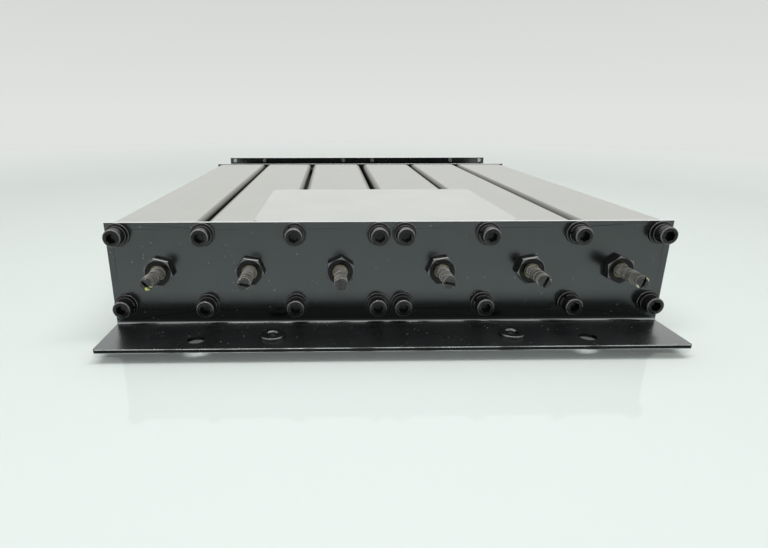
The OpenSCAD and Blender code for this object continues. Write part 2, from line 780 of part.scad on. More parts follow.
module jack_contacts() {
  color([0.8, 0.68, 0.35]) placed() at_jacks() difference() {
    revolved() polygon([
      [0, contact_rear], [stem_d / 2, contact_rear], [stem_d / 2, insulator_face],
      [contact_d / 2, insulator_face], [contact_d / 2, contact_tip - contact_edge],
      [contact_d / 2 - contact_edge, contact_tip], [0, contact_tip]
    ]);
    along(contact_bore_d, contact_tip - contact_bore_depth, contact_tip + over);
    for (k = [0, 90]) rotate([0, k, 0])
      translate([-contact_d, contact_tip - contact_bore_depth, -contact_slot_w / 2])
      cube([2 * contact_d, contact_bore_depth + over, contact_slot_w]);
  }
}

// A hood slips over a jack's spigot, and the cables enter it through its closed end
module jack_hoods() {
  color([0.7, 0.7, 0.68]) placed() for (i = [0, 1, 2]) translate([jack_x[i], 0, jack_z]) difference() {
    along(hood_d, hood_rear, hood_front);
    along(hood_d - 2 * hood_wall, hood_rear + hood_wall, hood_front + over);
    for (offset_x = i == 1 ? [-cable_pair, cable_pair] : [0]) translate([offset_x, 0, 0])
      along(cable_d + 2 * run_clear, hood_rear - over, hood_rear + hood_wall + over);
  }
}

module jack_screws() {
  color([0.7, 0.7, 0.68]) placed() at_jack_screws() translate([0, jack_face, 0]) rotate([0, 0, 180])
    pan_screw(jack_screw_d, jack_screw_len, jack_screw_head_d, jack_screw_head_h);
}

module jack_nuts() {
  color([0.7, 0.7, 0.68]) placed() at_jack_screws() difference() {
    hex_along(jack_nut_af, panel_front - jack_nut_t, panel_front);
    along(jack_screw_d + 2 * run_clear, panel_front - jack_nut_t - over, panel_front + over);
  }
}

// Harness

// A cable between two cavities: out of one ferrule, round a half turn, and into the next ferrule
module link(from_x, to_x) {
  bend_r = (to_x - from_x) / 2;
  color([0.12, 0.12, 0.12]) placed() translate([(from_x + to_x) / 2, 0, port_z]) {
    for (i = [-1, 1]) translate([i * bend_r, 0, 0]) along(cable_d, cable_seat, ferrule_end + link_run);
    translate([0, ferrule_end + link_run, 0]) rotate_extrude(angle = 180, $fn = 96)
      translate([bend_r, 0]) circle(d = cable_d, $fn = 32);
  }
}

// A cable from a jack's hood to a ferrule: two equal bends that shift it sideways and down. It lies in one
// plane, so its rings need only a station and a heading: [across, along, heading in degrees].
function feed_path(shift, run, turn, bend_r) = concat(
  [[0, cable_in_hood, 0]],
  [for (k = [0:feed_steps]) let (a = turn * k / feed_steps) [bend_r * (1 - cos(a)), -bend_r * sin(a), a]],
  [for (k = [feed_steps - 1:-1:0]) let (a = turn * k / feed_steps)
    [shift - bend_r * (1 - cos(a)), -run + bend_r * sin(a), a]],
  [[shift, -run - (ferrule_end - cable_seat), 0]]
);

module feed(from_x, to_x) {
  shift = norm([to_x - from_x, port_z - jack_z]);
  roll = atan2(port_z - jack_z, to_x - from_x);
  run = hood_rear - ferrule_end;
  turn = 2 * atan(shift / run);
  path = feed_path(shift, run, turn, run / 2 / sin(turn));
  rings = [for (stop = path) [for (j = [0:cable_sides - 1]) let (b = -360 * j / cable_sides)
    [stop[0], stop[1], 0] + cable_d / 2 * [cos(b) * cos(stop[2]), cos(b) * sin(stop[2]), sin(b)]]];
  color([0.12, 0.12, 0.12]) placed() translate([from_x, hood_rear, jack_z]) rotate([0, -roll, 0])
    swept(rings);
}

module cavity_link(n) { link(cavity_x[n - 1] + port_half, cavity_x[n] - port_half); }

module jumper_low_1() { feed(jack_x[0], cavity_x[0] - port_half); }
module jumper_1_2() { cavity_link(1); }
module jumper_2_3() { cavity_link(2); }
module jumper_3_antenna() { feed(jack_x[1] - cable_pair, cavity_x[2] + port_half); }
module jumper_antenna_4() { feed(jack_x[1] + cable_pair, cavity_x[3] - port_half); }
module jumper_4_5() { cavity_link(4); }
module jumper_5_6() { cavity_link(5); }
module jumper_6_high() { feed(jack_x[2], cavity_x[5] + port_half); }

front_bracket();
left_cavity_block();
right_cavity_block();
rear_channel();
sticker();
front_cap_screws();
front_lock_washers();
front_flat_washers();
rear_cap_screws();
rear_lock_washers();
rear_flat_washers();
clinch_nuts();
tuning_bushings();
panel_rivets();
tuning_screw_1();
tuning_screw_2();
tuning_screw_3();
tuning_screw_4();
tuning_screw_5();
tuning_screw_6();
jam_nut_1();
jam_nut_2();
jam_nut_3();
jam_nut_4();
jam_nut_5();
jam_nut_6();
tuning_cup_1();
tuning_cup_2();
tuning_cup_3();
tuning_cup_4();
tuning_cup_5();
tuning_cup_6();
resonator_coil_1();
resonator_coil_2();
resonator_coil_3();
resonator_coil_4();
resonator_coil_5();
resonator_coil_6();
coil_formers();
former_screws();
coupling_loops();
cable_ferrules();
low_jack();
antenna_jack();
high_jack();
jack_insulators();
jack_contacts();
jack_hoods();
jack_screws();
jack_nuts();
jumper_low_1();
jumper_1_2();
jumper_2_3();
jumper_3_antenna();
jumper_antenna_4();
jumper_4_5();
jumper_5_6();
jumper_6_high();
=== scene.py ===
# %% [markdown]
# # A six-cavity duplexer
# A duplexer lets one aerial serve a radio's transmitter and its receiver. This one is a flat box of two
# pale aluminium extrusions with three round cavities each. A folded black plate closes the front and
# carries six tuning screws, and a folded black channel at the back holds the cables and three jacks.
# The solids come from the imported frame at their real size, so this script never moves them. It gives
# each one its finish, and it models again only what the solids leave plain, such as threads, knurls
# and rounded rims.

import json
from math import cos, pi, radians, sin

import bmesh
import bpy
from mathutils import Matrix, Vector


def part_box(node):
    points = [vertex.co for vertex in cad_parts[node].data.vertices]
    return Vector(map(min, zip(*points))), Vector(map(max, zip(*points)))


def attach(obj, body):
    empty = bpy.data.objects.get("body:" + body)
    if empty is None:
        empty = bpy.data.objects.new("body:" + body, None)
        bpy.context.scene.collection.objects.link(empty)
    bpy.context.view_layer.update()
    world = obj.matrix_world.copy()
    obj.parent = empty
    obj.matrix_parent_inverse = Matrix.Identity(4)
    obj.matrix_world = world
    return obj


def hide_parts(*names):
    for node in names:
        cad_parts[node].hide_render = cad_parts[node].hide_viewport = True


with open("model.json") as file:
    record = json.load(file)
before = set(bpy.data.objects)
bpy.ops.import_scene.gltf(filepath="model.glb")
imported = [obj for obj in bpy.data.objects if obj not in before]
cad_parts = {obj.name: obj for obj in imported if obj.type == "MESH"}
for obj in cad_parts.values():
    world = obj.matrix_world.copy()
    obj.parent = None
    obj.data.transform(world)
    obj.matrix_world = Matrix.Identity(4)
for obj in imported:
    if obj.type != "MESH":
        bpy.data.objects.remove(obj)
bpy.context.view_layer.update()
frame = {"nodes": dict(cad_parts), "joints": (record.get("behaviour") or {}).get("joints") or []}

# %% [markdown]
# ## Sizes
# Blender works in metres and the parts are measured in millimetres, so one factor turns one into the
# other. Places are read from the frame's own boxes and joints wherever that is possible: then a piece
# made here still fits if the frame changes.

# %% Sizes and places
MM = 0.001
SHEET = 1.6 * MM
PLATE_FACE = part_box("front_bracket")[1].y - SHEET
SHEET_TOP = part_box("front_bracket")[1].z
FOOT_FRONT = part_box("front_bracket")[0].y
FOOT_HOLE_X = 146.2 / 2 * MM
FOOT_HOLE_Y = PLATE_FACE - 15.6 * MM
FOOT_HOLE_R = 6.3 / 2 * MM
END_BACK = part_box("rear_channel")[0].y + SHEET
AXIS = {}
for joint in frame["joints"]:
    if joint["name"].startswith("screw_"):
        AXIS[int(joint["name"].split("_")[1])] = Vector(joint["pos_m"])
AXIS_Z = AXIS[1].z
SCREW_ROW = 14.1 * MM
SCREW_EDGE = 3.9 * MM
SCREW_X = []
for side in ("left_cavity_block", "right_cavity_block"):
    low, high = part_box(side)
    SCREW_X += [low.x + SCREW_EDGE, high.x - SCREW_EDGE]
for first, second in ((1, 2), (2, 3), (4, 5), (5, 6)):
    SCREW_X.append((AXIS[first].x + AXIS[second].x) / 2)
SCREW_Z = (AXIS_Z - SCREW_ROW, AXIS_Z + SCREW_ROW)
MIDDLE_GROOVE_HALF = 3.7 * MM
GROOVE_HALF = 3.1 * MM
# Each groove: how far its middle lies to either side of the object's own, and half its width.
GROOVES = [(0.0, MIDDLE_GROOVE_HALF)]
for number in (4, 5):
    GROOVES.append(((AXIS[number].x + AXIS[number + 1].x) / 2, GROOVE_HALF))
print("plate face at y =", round(PLATE_FACE / MM, 2), "mm,", len(SCREW_X), "screws in each row")

# %% [markdown]
# ## Camera
# The photograph looks down at the front plate from close by with a wide lens. Its lens, place and tilt
# were found by matching known corners of the object with their places in the picture. The lens axis
# meets the picture a little left of its middle, and a small shift puts it there.

# %% Camera
PICTURE_WIDTH = 768
SENSOR_WIDTH = 36
FOCAL_PIXELS = 519.2
AXIS_PIXEL_X = 341.5
LOOK_DOWN = radians(17.83)
TURN_RIGHT = radians(1.145)
CAMERA_PLACE = (-22.84 * MM, -318.7 * MM, 83.51 * MM)
NEAREST_SEEN = 10 * MM

camera_data = bpy.data.cameras.new("photo_camera")
camera_data.sensor_width = SENSOR_WIDTH
camera_data.lens = FOCAL_PIXELS / PICTURE_WIDTH * SENSOR_WIDTH
camera_data.shift_x = (PICTURE_WIDTH / 2 - AXIS_PIXEL_X) / PICTURE_WIDTH
camera_data.clip_start = NEAREST_SEEN
camera = bpy.data.objects.new("photo_camera", camera_data)
camera.location = CAMERA_PLACE
camera.rotation_euler = (pi / 2 - LOOK_DOWN, 0, -TURN_RIGHT)
bpy.context.scene.collection.objects.link(camera)
bpy.context.scene.camera = camera
print("lens:", round(camera_data.lens, 2), "mm")

# %% [markdown]
# ## Node helpers
# Every finish below is built from the same few nodes: a coordinate, a noise, a range, a mix of two
# colours and a bump. Short helpers keep each finish readable. Object coordinates are in metres, so a
# noise scale of 1000 has features of about a millimetre. The mix node keeps its sockets for colours and
# for numbers side by side, so each kind has its own places in the list.

# %% Node helpers
MIX_SOCKETS = {"RGBA": (6, 7, 2), "FLOAT": (2, 3, 0)}


def new_finish(name, colour, roughness, metallic=0.0, ior=1.5):
    """A material whose Principled shader has these plain values, and its node tree and shader."""
    made = bpy.data.materials.new(name)
    made.use_nodes = True
    shader = made.node_tree.nodes["Principled BSDF"]
    shader.inputs["Base Color"].default_value = (*colour, 1)
    shader.inputs["Roughness"].default_value = roughness
    shader.inputs["Metallic"].default_value = metallic
    shader.inputs["IOR"].default_value = ior
    return made, made.node_tree, shader


def feed(tree, socket, value):
    """Links another node's output to a socket, or puts a plain number, place or colour on it."""
    if isinstance(value, bpy.types.NodeSocket):
        tree.links.new(value, socket)
    elif socket.type == "RGBA":
        socket.default_value = (*value, 1)
    else:
        socket.default_value = value


def node(tree, kind, **inputs):
    """A new node of this kind with these inputs, their names written with underscores."""
    made = tree.nodes.new("ShaderNode" + kind)
    for name, value in inputs.items():
        feed(tree, made.inputs[name.replace("_", " ")], value)
    return made


def object_place(tree, stretch=(1, 1, 1)):
    """Object coordinates, stretched to draw a pattern out along an axis."""
    place = node(tree, "TexCoord").outputs["Object"]
    return node(tree, "Mapping", Vector=place, Scale=stretch).outputs["Vector"]


def noise(tree, place, scale, detail=3.0):
    return node(tree, "TexNoise", Vector=place, Scale=scale, Detail=detail).outputs["Fac"]


def in_range(tree, value, from_low, from_high, to_low, to_high):
    """The value carried over from one range to another, and never past its ends."""
    limits = {"From_Min": from_low, "From_Max": from_high, "To_Min": to_low, "To_Max": to_high}
    return node(tree, "MapRange", Value=value, **limits).outputs["Result"]


def specks(tree, place, scale, size):
    """Round dots: 1 inside a dot, 0 outside. Size is a share of the distance between dots."""
    distance = node(tree, "TexVoronoi", Vector=place, Scale=scale).outputs["Distance"]
    return in_range(tree, distance, size, size * 0.6, 0, 1)


def maths(tree, how, first, second=0.0):
    """One operation on one or two values. Each is a number or another node's output."""
    made = node(tree, "Math")
    made.operation = how
    for socket, value in zip(made.inputs, (first, second)):
        feed(tree, socket, value)
    return made.outputs["Value"]


def times(tree, first, second):
    return maths(tree, "MULTIPLY", first, second)


def apart(tree, value, middle):
    """How far a value lies from a middle, to either side."""
    return maths(tree, "ABSOLUTE", maths(tree, "SUBTRACT", value, middle))


def along(tree, axis):
    """One of the object's own coordinates, in metres."""
    return node(tree, "SeparateXYZ", Vector=object_place(tree)).outputs[axis]


def ramp(tree, axis, start, end, top=1):
    """0 before the start, along one of the object's axes, and the top value from the end on."""
    return in_range(tree, along(tree, axis), start, end, 0, top)


def mixed(tree, factor, first, second, kind="RGBA"):
    """A colour or a number between two: each is a plain one or another node's output."""
    made = node(tree, "Mix", Factor=factor)
    made.data_type = kind
    low, high, result = MIX_SOCKETS[kind]
    feed(tree, made.inputs[low], first)
    feed(tree, made.inputs[high], second)
    return made.outputs[result]


def vary_gloss(tree, shader, pattern, low, high):
    """Lets a pattern carry the roughness between two values."""
    tree.links.new(in_range(tree, pattern, 0.3, 0.7, low, high), shader.inputs["Roughness"])


def bumped(tree, shader, height, strength, depth):
    bump = node(tree, "Bump", Height=height, Strength=strength, Distance=depth)
    tree.links.new(bump.outputs["Normal"], shader.inputs["Normal"])


# %% [markdown]
# ## Room
# The object stands in a bright room, and its black sheets show mostly what they mirror: the upright
# plate mirrors the table in front of it, and its lower part the dark foot. So the surroundings matter
# more here than the lamps. A picture of a room would do too, but an even glow is enough: the light path
# node gives it one strength for the camera, one for gloss and one for all other light.

# %% Room
ROOM_COLOUR = (0.985, 1.0, 0.985)
ROOM_SEEN_LOW = 0.76
ROOM_SEEN_HIGH = 0.69
ROOM_LIGHT = 0.76
MIRRORED_FRONT = 0.62
MIRRORED_BACK = 1.3
FRONT_Y = -0.8
BACK_Y = 0.2
HIGH_Z = 0.17


def make_room():
    """An even pale room. Gloss sees it a little darker in front, where the photographer stands."""
    world = bpy.data.worlds.new("pale_room")
    world.use_nodes = True
    tree = world.node_tree
    sky = tree.nodes["Background"]
    sky.inputs["Color"].default_value = (*ROOM_COLOUR, 1)
    heading = node(tree, "SeparateXYZ", Vector=node(tree, "TexCoord").outputs["Generated"])
    mirrored = in_range(tree, heading.outputs["Y"], FRONT_Y, BACK_Y, MIRRORED_FRONT, MIRRORED_BACK)
    seen = in_range(tree, heading.outputs["Z"], 0, HIGH_Z, ROOM_SEEN_LOW, ROOM_SEEN_HIGH)
    rays = node(tree, "LightPath")
    strength = mixed(tree, rays.outputs["Is Glossy Ray"], ROOM_LIGHT, mirrored, "FLOAT")
    strength = mixed(tree, rays.outputs["Is Camera Ray"], strength, seen, "FLOAT")
    tree.links.new(strength, sky.inputs["Strength"])
    bpy.context.scene.world = world


make_room()
bpy.context.scene.view_settings.view_transform = "Standard"
print("room ready")

# %% [markdown]
# ## Table
# The table is white under a glass top, made of two planes: clear glass at the height that the object
# stands on, and a white board just under it, which puts a soft grey band under the foot. Light that
# spreads inside the glass reaches even there, which the board's faint glow stands for. Far out the
# board fades into the room, so no horizon shows.

# %% Table
TABLE_SIZE = 8.0
GLASS_DEPTH = 4.0 * MM
GLASS_IOR = 1.42
GLASS_ROUGHNESS = 0.06
GLASS_MIRROR = (0.50, 0.52, 0.51)
TABLE_FADES_FROM = 0.45
TABLE_FADES_TO = 1.1
BOARD_WHITE = (0.68, 0.725, 0.705)
BOARD_GLOW = 0.11
BOARD_GLOW_COLOUR = (0.94, 1.0, 0.97, 1)


def table_plane(name, height):
    bpy.ops.object.select_all(action="DESELECT")
    bpy.ops.mesh.primitive_plane_add(size=TABLE_SIZE, location=(0, 0, height))
    plane = bpy.context.object
    plane.name = name
    return plane


def by_distance(tree, near, far):
    """One number round the object, and another far out on the table."""
    distance = node(tree, "VectorMath", Vector=object_place(tree))
    distance.operation = "LENGTH"
    return in_range(tree, distance.outputs["Value"], TABLE_FADES_FROM, TABLE_FADES_TO, near, far)


def show_blend(tree, factor, first, second):
    """The surface shows a blend of two shaders."""
    blend = node(tree, "MixShader")
    for socket, value in zip(blend.inputs, (factor, first, second)):
        tree.links.new(value, socket)
    tree.links.new(blend.outputs[0], tree.nodes["Material Output"].inputs["Surface"])


def white_board():
    made, tree, shader = new_finish("white_board", BOARD_WHITE, 0.5)
    shader.inputs["Emission Color"].default_value = BOARD_GLOW_COLOUR
    shader.inputs["Emission Strength"].default_value = BOARD_GLOW
    room = node(tree, "Emission", Color=ROOM_COLOUR, Strength=ROOM_SEEN_LOW)
    show_blend(tree, by_distance(tree, 0, 1), shader.outputs[0], room.outputs[0])
    return made


def clear_glass():
    """The glass mirrors more at a low angle and lets the rest through. Far out it is fully clear."""
    made, tree, shader = new_finish("clear_glass", (1, 1, 1), GLASS_ROUGHNESS)
    tree.nodes.remove(shader)
    fresnel = node(tree, "Fresnel", IOR=GLASS_IOR)
    mirror = node(tree, "BsdfGlossy", Roughness=GLASS_ROUGHNESS, Color=GLASS_MIRROR)
    clear = node(tree, "BsdfTransparent")
    mirroring = times(tree, fresnel.outputs[0], by_distance(tree, 1, 0))
    show_blend(tree, mirroring, clear.outputs[0], mirror.outputs[0])
    return made


board = table_plane("table_board", -GLASS_DEPTH)
board.data.materials.append(white_board())
glass = table_plane("table_glass", 0)
glass.data.materials.append(clear_glass())
print("table:", TABLE_SIZE, "m wide, glass", GLASS_DEPTH / MM, "mm above the board")

# %% [markdown]
# ## Lamps
# A long ceiling lamp above the object draws a line of light on its round edges and screw heads. It is
# made twice at the same place: one lamp lights without being mirrored, and the other is only mirrored.
# That lets light linking keep the mirrored one off the table, the pale blocks and the sticker, which
# its highlight would burn out when they are seen from behind.

# %% Lamps
LAMP_PLACE = Vector((0.05, -0.20, 1.2))
LAMP_AIM = Vector((0, -0.02, 0))
LAMP_LENGTH = 1.8
LAMP_WIDTH = 0.10
LIGHT_POWER = 12
SHINE_POWER = 20


def strip_lamp(name, power):
    lamp_data = bpy.data.lights.new(name, "AREA")
    lamp_data.shape = "RECTANGLE"
    lamp_data.size = LAMP_LENGTH
    lamp_data.size_y = LAMP_WIDTH
    lamp_data.energy = power
    lamp = bpy.data.objects.new(name, lamp_data)
    lamp.location = LAMP_PLACE
    lamp.rotation_euler = (LAMP_AIM - LAMP_PLACE).to_track_quat("-Z", "Y").to_euler()
    lamp.visible_camera = False
    bpy.context.scene.collection.objects.link(lamp)
    return lamp


def kept_off(lamp, pieces):
    """The lamp reaches everything but these pieces."""
    left_out = bpy.data.collections.new("without_" + lamp.name)
    for piece in pieces:
        left_out.objects.link(piece)
    for entry in left_out.collection_objects:
        entry.light_linking.link_state = "EXCLUDE"
    lamp.light_linking.receiver_collection = left_out


ceiling_lamp = strip_lamp("ceiling_lamp", LIGHT_POWER)
ceiling_lamp.visible_glossy = False
shine = strip_lamp("ceiling_lamp_shine", SHINE_POWER)
shine.visible_diffuse = False
pale_pieces = [frame["nodes"][name] for name in ("left_cavity_block", "right_cavity_block", "sticker")]
kept_off(shine, [board, glass, *pale_pieces])
print("lamps ready")

# %% [markdown]
# ## Black sheets
# The folded sheets have a satin black finish with a faint orange-peel surface. It is so dark that gloss
# makes almost all of what is seen, so the roughness varies more than the colour. A used part also has
# dust, hair scratches and folds worn pale, and top edges that are worn and painted pale as a highlight.
# The foot's holes and cut front edge are painted dark as shade, and the front edge's corners carry thin
# painted highlights. Painted masks would do, but each mark sits at a known height or distance, so ramps
# along the object's own axes place them. Raising Metallic makes bare metal, and over a black colour the
# same takes gloss away: this paints shade on the plate low down, above the foot.

# %% Sheet finish
PAINT_BLACK = (0.0028, 0.0030, 0.0032)
PALE_DUST = (0.34, 0.34, 0.33)
SCRATCHED = (0.25, 0.25, 0.25)
# The sheets' top edges: worn pale, and lighter still as a painted highlight.
TOP_EDGE_WEAR_AND_HIGHLIGHT = (0.42, 0.42, 0.41)
WORN_FOLD = (0.30, 0.31, 0.31)
# Painted shade on the foot's cut front edge and in its holes.
EDGE_PAINTED_SHADE = (0.018, 0.018, 0.019)
# Painted highlights on the front edge's two corners.
CORNER_PAINTED_HIGHLIGHT = (0.55, 0.56, 0.56)
FOLD_LOW = 1.64 * MM
FOLD_HIGH = 2.40 * MM
DULLED_LOW = 2.6 * MM
DULLED_HIGH = 15 * MM


def black_paint():
    """Satin black, rougher and dustier on the foot, with painted shade low on the plate and on the foot's
    cut edges, and with worn edges and painted highlights.
    """
    made, tree, shader = new_finish("satin_black_paint", PAINT_BLACK, 0.2, ior=1.92)
    shader.inputs["Specular Tint"].default_value = (0.94, 1.0, 1.02, 1)
    place = object_place(tree)
    foot = ramp(tree, "Z", 1.08 * SHEET, 1.01 * SHEET)
    edge_shade, corner_highlight = edge_shade_and_corner_highlights(tree)
    fold = worn_fold(tree)
    colour = dusty_paint(tree, place, foot)
    # The top edges get their wear and a painted highlight.
    colour = mixed(tree, ramp(tree, "Z", SHEET_TOP - 0.12 * MM, SHEET_TOP - 0.04 * MM), colour, TOP_EDGE_WEAR_AND_HIGHLIGHT)
    colour = mixed(tree, fold, colour, WORN_FOLD)
    # The foot's cut edges get painted shade, and their corners painted highlights.
    colour = mixed(tree, edge_shade, colour, mixed(tree, corner_highlight, EDGE_PAINTED_SHADE, CORNER_PAINTED_HIGHLIGHT))
    tree.links.new(colour, shader.inputs["Base Color"])
    # Metallic carries the painted shade of the cut edges and of the plate low down, and the worn fold.
    metal_and_painted_shade = maths(tree, "MAXIMUM", maths(tree, "MAXIMUM", edge_shade, fold), painted_shade_low_down(tree))
    tree.links.new(metal_and_painted_shade, shader.inputs["Metallic"])
    roughness = in_range(tree, noise(tree, place, 70), 0.3, 0.7, 0.15, 0.21)
    tree.links.new(maths(tree, "ADD", roughness, times(tree, foot, 0.10)), shader.inputs["Roughness"])
    bumped(tree, shader, noise(tree, place, 1600), 0.05, 0.02 * MM)
    return made


def dusty_paint(tree, place, foot):
    """Black with specks of dust, most of them on the foot, and with hair scratches in patches."""
    dusty = maths(tree, "ADD", noise(tree, place, 240), times(tree, foot, 0.08))
    dust = times(tree, specks(tree, place, 480, 0.12), in_range(tree, dusty, 0.53, 0.60, 0, 0.75))
    hairs = noise(tree, object_place(tree, (90, 500, 1500)), 1.0, 2.0)
    patches = in_range(tree, noise(tree, place, 40), 0.52, 0.62, 0, 0.12)
    scratch = times(tree, in_range(tree, hairs, 0.70, 0.74, 0, 1), patches)
    return mixed(tree, scratch, mixed(tree, dust, PAINT_BLACK, PALE_DUST), SCRATCHED)


def worn_fold(tree):
    """Nearly 1 in the lower part of a fold, just above the flat sheet, and 0 elsewhere."""
    above = ramp(tree, "Z", FOLD_LOW, FOLD_LOW + 0.10 * MM, 0.9)
    return times(tree, above, ramp(tree, "Z", FOLD_HIGH, FOLD_HIGH - 0.15 * MM))


def painted_shade_low_down(tree):
    """Painted shade: more and more from 15 mm down to 8 mm, and 0 again at the fold."""
    low_down = ramp(tree, "Z", DULLED_HIGH, DULLED_HIGH - 7 * MM, 0.55)
    return times(tree, low_down, ramp(tree, "Z", DULLED_LOW, DULLED_LOW + 0.8 * MM))


def edge_shade_and_corner_highlights(tree):
    """Painted shade: 1 on the foot's front edge and in its two plain holes. Painted highlight: 1 on the
    front edge's two corners.
    """
    front = ramp(tree, "Y", FOOT_FRONT + 0.30 * MM, FOOT_FRONT + 0.02 * MM)
    off_middle = apart(tree, along(tree, "Z"), SHEET / 2)
    corner_highlight = in_range(tree, off_middle, SHEET / 2 - 0.30 * MM, SHEET / 2 - 0.20 * MM, 0, 1)
    corner_highlight = times(tree, corner_highlight, in_range(tree, noise(tree, object_place(tree), 60), 0.38, 0.50, 0.25, 1))
    aside = maths(tree, "SUBTRACT", maths(tree, "ABSOLUTE", along(tree, "X")), FOOT_HOLE_X)
    ahead = maths(tree, "SUBTRACT", along(tree, "Y"), FOOT_HOLE_Y)
    squares = maths(tree, "ADD", times(tree, aside, aside), times(tree, ahead, ahead))
    from_hole = maths(tree, "POWER", squares, 0.5)
    hole = in_range(tree, from_hole, FOOT_HOLE_R + 0.16 * MM, FOOT_HOLE_R + 0.10 * MM, 0, 1)
    return maths(tree, "MAXIMUM", front, hole), times(tree, corner_highlight, front)


BLACK_PAINT = black_paint()
print("finish:", BLACK_PAINT.name)

# %% [markdown]
# ## Pale extrusions and black screws
# The extrusions are clear anodised: they keep the pale grey of aluminium, and their skin carries fine
# draw lines along their length, which are a noise drawn out along Y. The long grooves are painted dark
# as shade. The screws are black oxide steel: almost black, with gloss that varies a little. Their
# sockets are painted darker still as shade, and their rims are worn and carry a painted highlight, so
# both have a finish of their own.

# %% Extrusion and screw finishes
# Painted shade that darkens the long grooves of the extrusions.
GROOVE_PAINTED_SHADE = (0.035, 0.035, 0.034)
DARK_SPECKS = (0.16, 0.16, 0.15)


def pale_anodising():
    """Bare-looking aluminium with draw lines along it, and painted shade that fills the long grooves."""
    made, tree, shader = new_finish("pale_anodised_extrusion", (0.50, 0.50, 0.48), 0.4, metallic=1.0)
    shader.inputs["Specular Tint"].default_value = (0.68, 0.68, 0.665, 1)
    place = object_place(tree)
    lines = noise(tree, object_place(tree, (2600, 6, 2600)), 1.0, 4.0)
    colour = mixed(tree, noise(tree, place, 45), (0.53, 0.53, 0.512), (0.58, 0.58, 0.562))
    patches = in_range(tree, noise(tree, place, 60), 0.58, 0.66, 0, 0.6)
    colour = mixed(tree, times(tree, specks(tree, place, 420, 0.13), patches), colour, DARK_SPECKS)
    colour = mixed(tree, painted_shade_in_grooves(tree), colour, GROOVE_PAINTED_SHADE)
    tree.links.new(colour, shader.inputs["Base Color"])
    vary_gloss(tree, shader, lines, 0.40, 0.50)
    bumped(tree, shader, lines, 0.04, 0.01 * MM)
    return made


def painted_shade_in_grooves(tree):
    """Painted shade: 0 on the flat tops, a little at a groove's shoulders, and 1 in its middle."""
    groove_shade = None
    for middle, half in GROOVES:
        away = apart(tree, maths(tree, "ABSOLUTE", along(tree, "X")), middle)
        inside = in_range(tree, away, half + 0.1 * MM, half - 0.1 * MM, 0, 1)
        here = times(tree, inside, in_range(tree, away, half, 0.5 * MM, 0.24, 1))
        groove_shade = here if groove_shade is None else maths(tree, "MAXIMUM", groove_shade, here)
    return groove_shade


def black_oxide():
    made, tree, shader = new_finish("black_oxide_steel", (0.003, 0.003, 0.003), 0.2, ior=1.45)
    place = object_place(tree)
    colour = mixed(tree, noise(tree, place, 700), (0.002, 0.002, 0.002), (0.006, 0.006, 0.006))
    tree.links.new(colour, shader.inputs["Base Color"])
    vary_gloss(tree, shader, noise(tree, place, 900), 0.14, 0.24)
    bumped(tree, shader, noise(tree, place, 5000), 0.12, 0.01 * MM)
    return made


PALE_ANODISING = pale_anodising()
BLACK_OXIDE = black_oxide()
# Painted shade for the screws' sockets.
SOCKET_PAINTED_SHADE = new_finish("socket_painted_shade", (0.002, 0.002, 0.002), 0.2, ior=1.4)[0]
# Worn rims and chamfers, painted lighter as a highlight.
EDGE_WEAR_AND_HIGHLIGHT = new_finish("black_edge_wear_and_highlight", (0.15, 0.15, 0.147), 0.22, metallic=0.7, ior=1.8)[0]
print("finishes:", PALE_ANODISING.name, BLACK_OXIDE.name, SOCKET_PAINTED_SHADE.name, EDGE_WEAR_AND_HIGHLIGHT.name)

# %% [markdown]
# ## Bare metals, plastics and the sticker
# Bare metal is a metallic shader whose roughness and colour wander a little. Plastics are plain with a
# fine grain. The sticker is a pale satin film with nothing on it, a little uneven and dusty.


# %% Metals and plastics
def bare_metal(name, dull, bright, roughness_low, roughness_high):
    made, tree, shader = new_finish(name, bright, roughness_low, metallic=1.0)
    place = object_place(tree)
    tree.links.new(mixed(tree, noise(tree, place, 350), dull, bright), shader.inputs["Base Color"])
    vary_gloss(tree, shader, noise(tree, place, 1200), roughness_low, roughness_high)
    bumped(tree, shader, noise(tree, place, 4000), 0.1, 0.01 * MM)
    return made


def moulded(name, colour, shade, roughness):
    made, tree, shader = new_finish(name, colour, roughness)
    place = object_place(tree)
    tree.links.new(mixed(tree, noise(tree, place, 500), shade, colour), shader.inputs["Base Color"])
    bumped(tree, shader, noise(tree, place, 2500), 0.12, 0.02 * MM)
    return made


BRIGHT_PLATE = bare_metal("bright_plate", (0.54, 0.54, 0.525), (0.62, 0.62, 0.605), 0.22, 0.30)
DARK_STEEL = bare_metal("dark_steel", (0.08, 0.08, 0.083), (0.20, 0.20, 0.20), 0.16, 0.30)
BRASS = bare_metal("bare_brass", (0.55, 0.38, 0.15), (0.80, 0.60, 0.28), 0.20, 0.36)
COPPER = bare_metal("bare_copper", (0.62, 0.30, 0.18), (0.85, 0.48, 0.32), 0.20, 0.35)
FORMER = moulded("former_plastic", (0.86, 0.86, 0.82), (0.78, 0.78, 0.74), 0.45)
INSULATOR = moulded("insulator_plastic", (0.88, 0.87, 0.82), (0.80, 0.79, 0.74), 0.40)
JACKET = moulded("cable_jacket", (0.022, 0.022, 0.023), (0.012, 0.012, 0.013), 0.42)


def sticker_film():
    made, tree, shader = new_finish("blank_sticker_film", (0.46, 0.47, 0.45), 0.45, ior=1.2)
    place = object_place(tree)
    colour = mixed(tree, noise(tree, place, 25), (0.40, 0.41, 0.39), (0.45, 0.46, 0.44))
    patches = in_range(tree, noise(tree, place, 90), 0.55, 0.6, 0, 0.7)
    colour = mixed(tree, times(tree, specks(tree, place, 500, 0.12), patches), colour, (0.2, 0.2, 0.18))
    tree.links.new(colour, shader.inputs["Base Color"])
    vary_gloss(tree, shader, noise(tree, place, 60), 0.42, 0.52)
    bumped(tree, shader, noise(tree, place, 1500), 0.08, 0.02 * MM)
    return made


STICKER_FILM = sticker_film()
print("metals, plastics and sticker film ready")

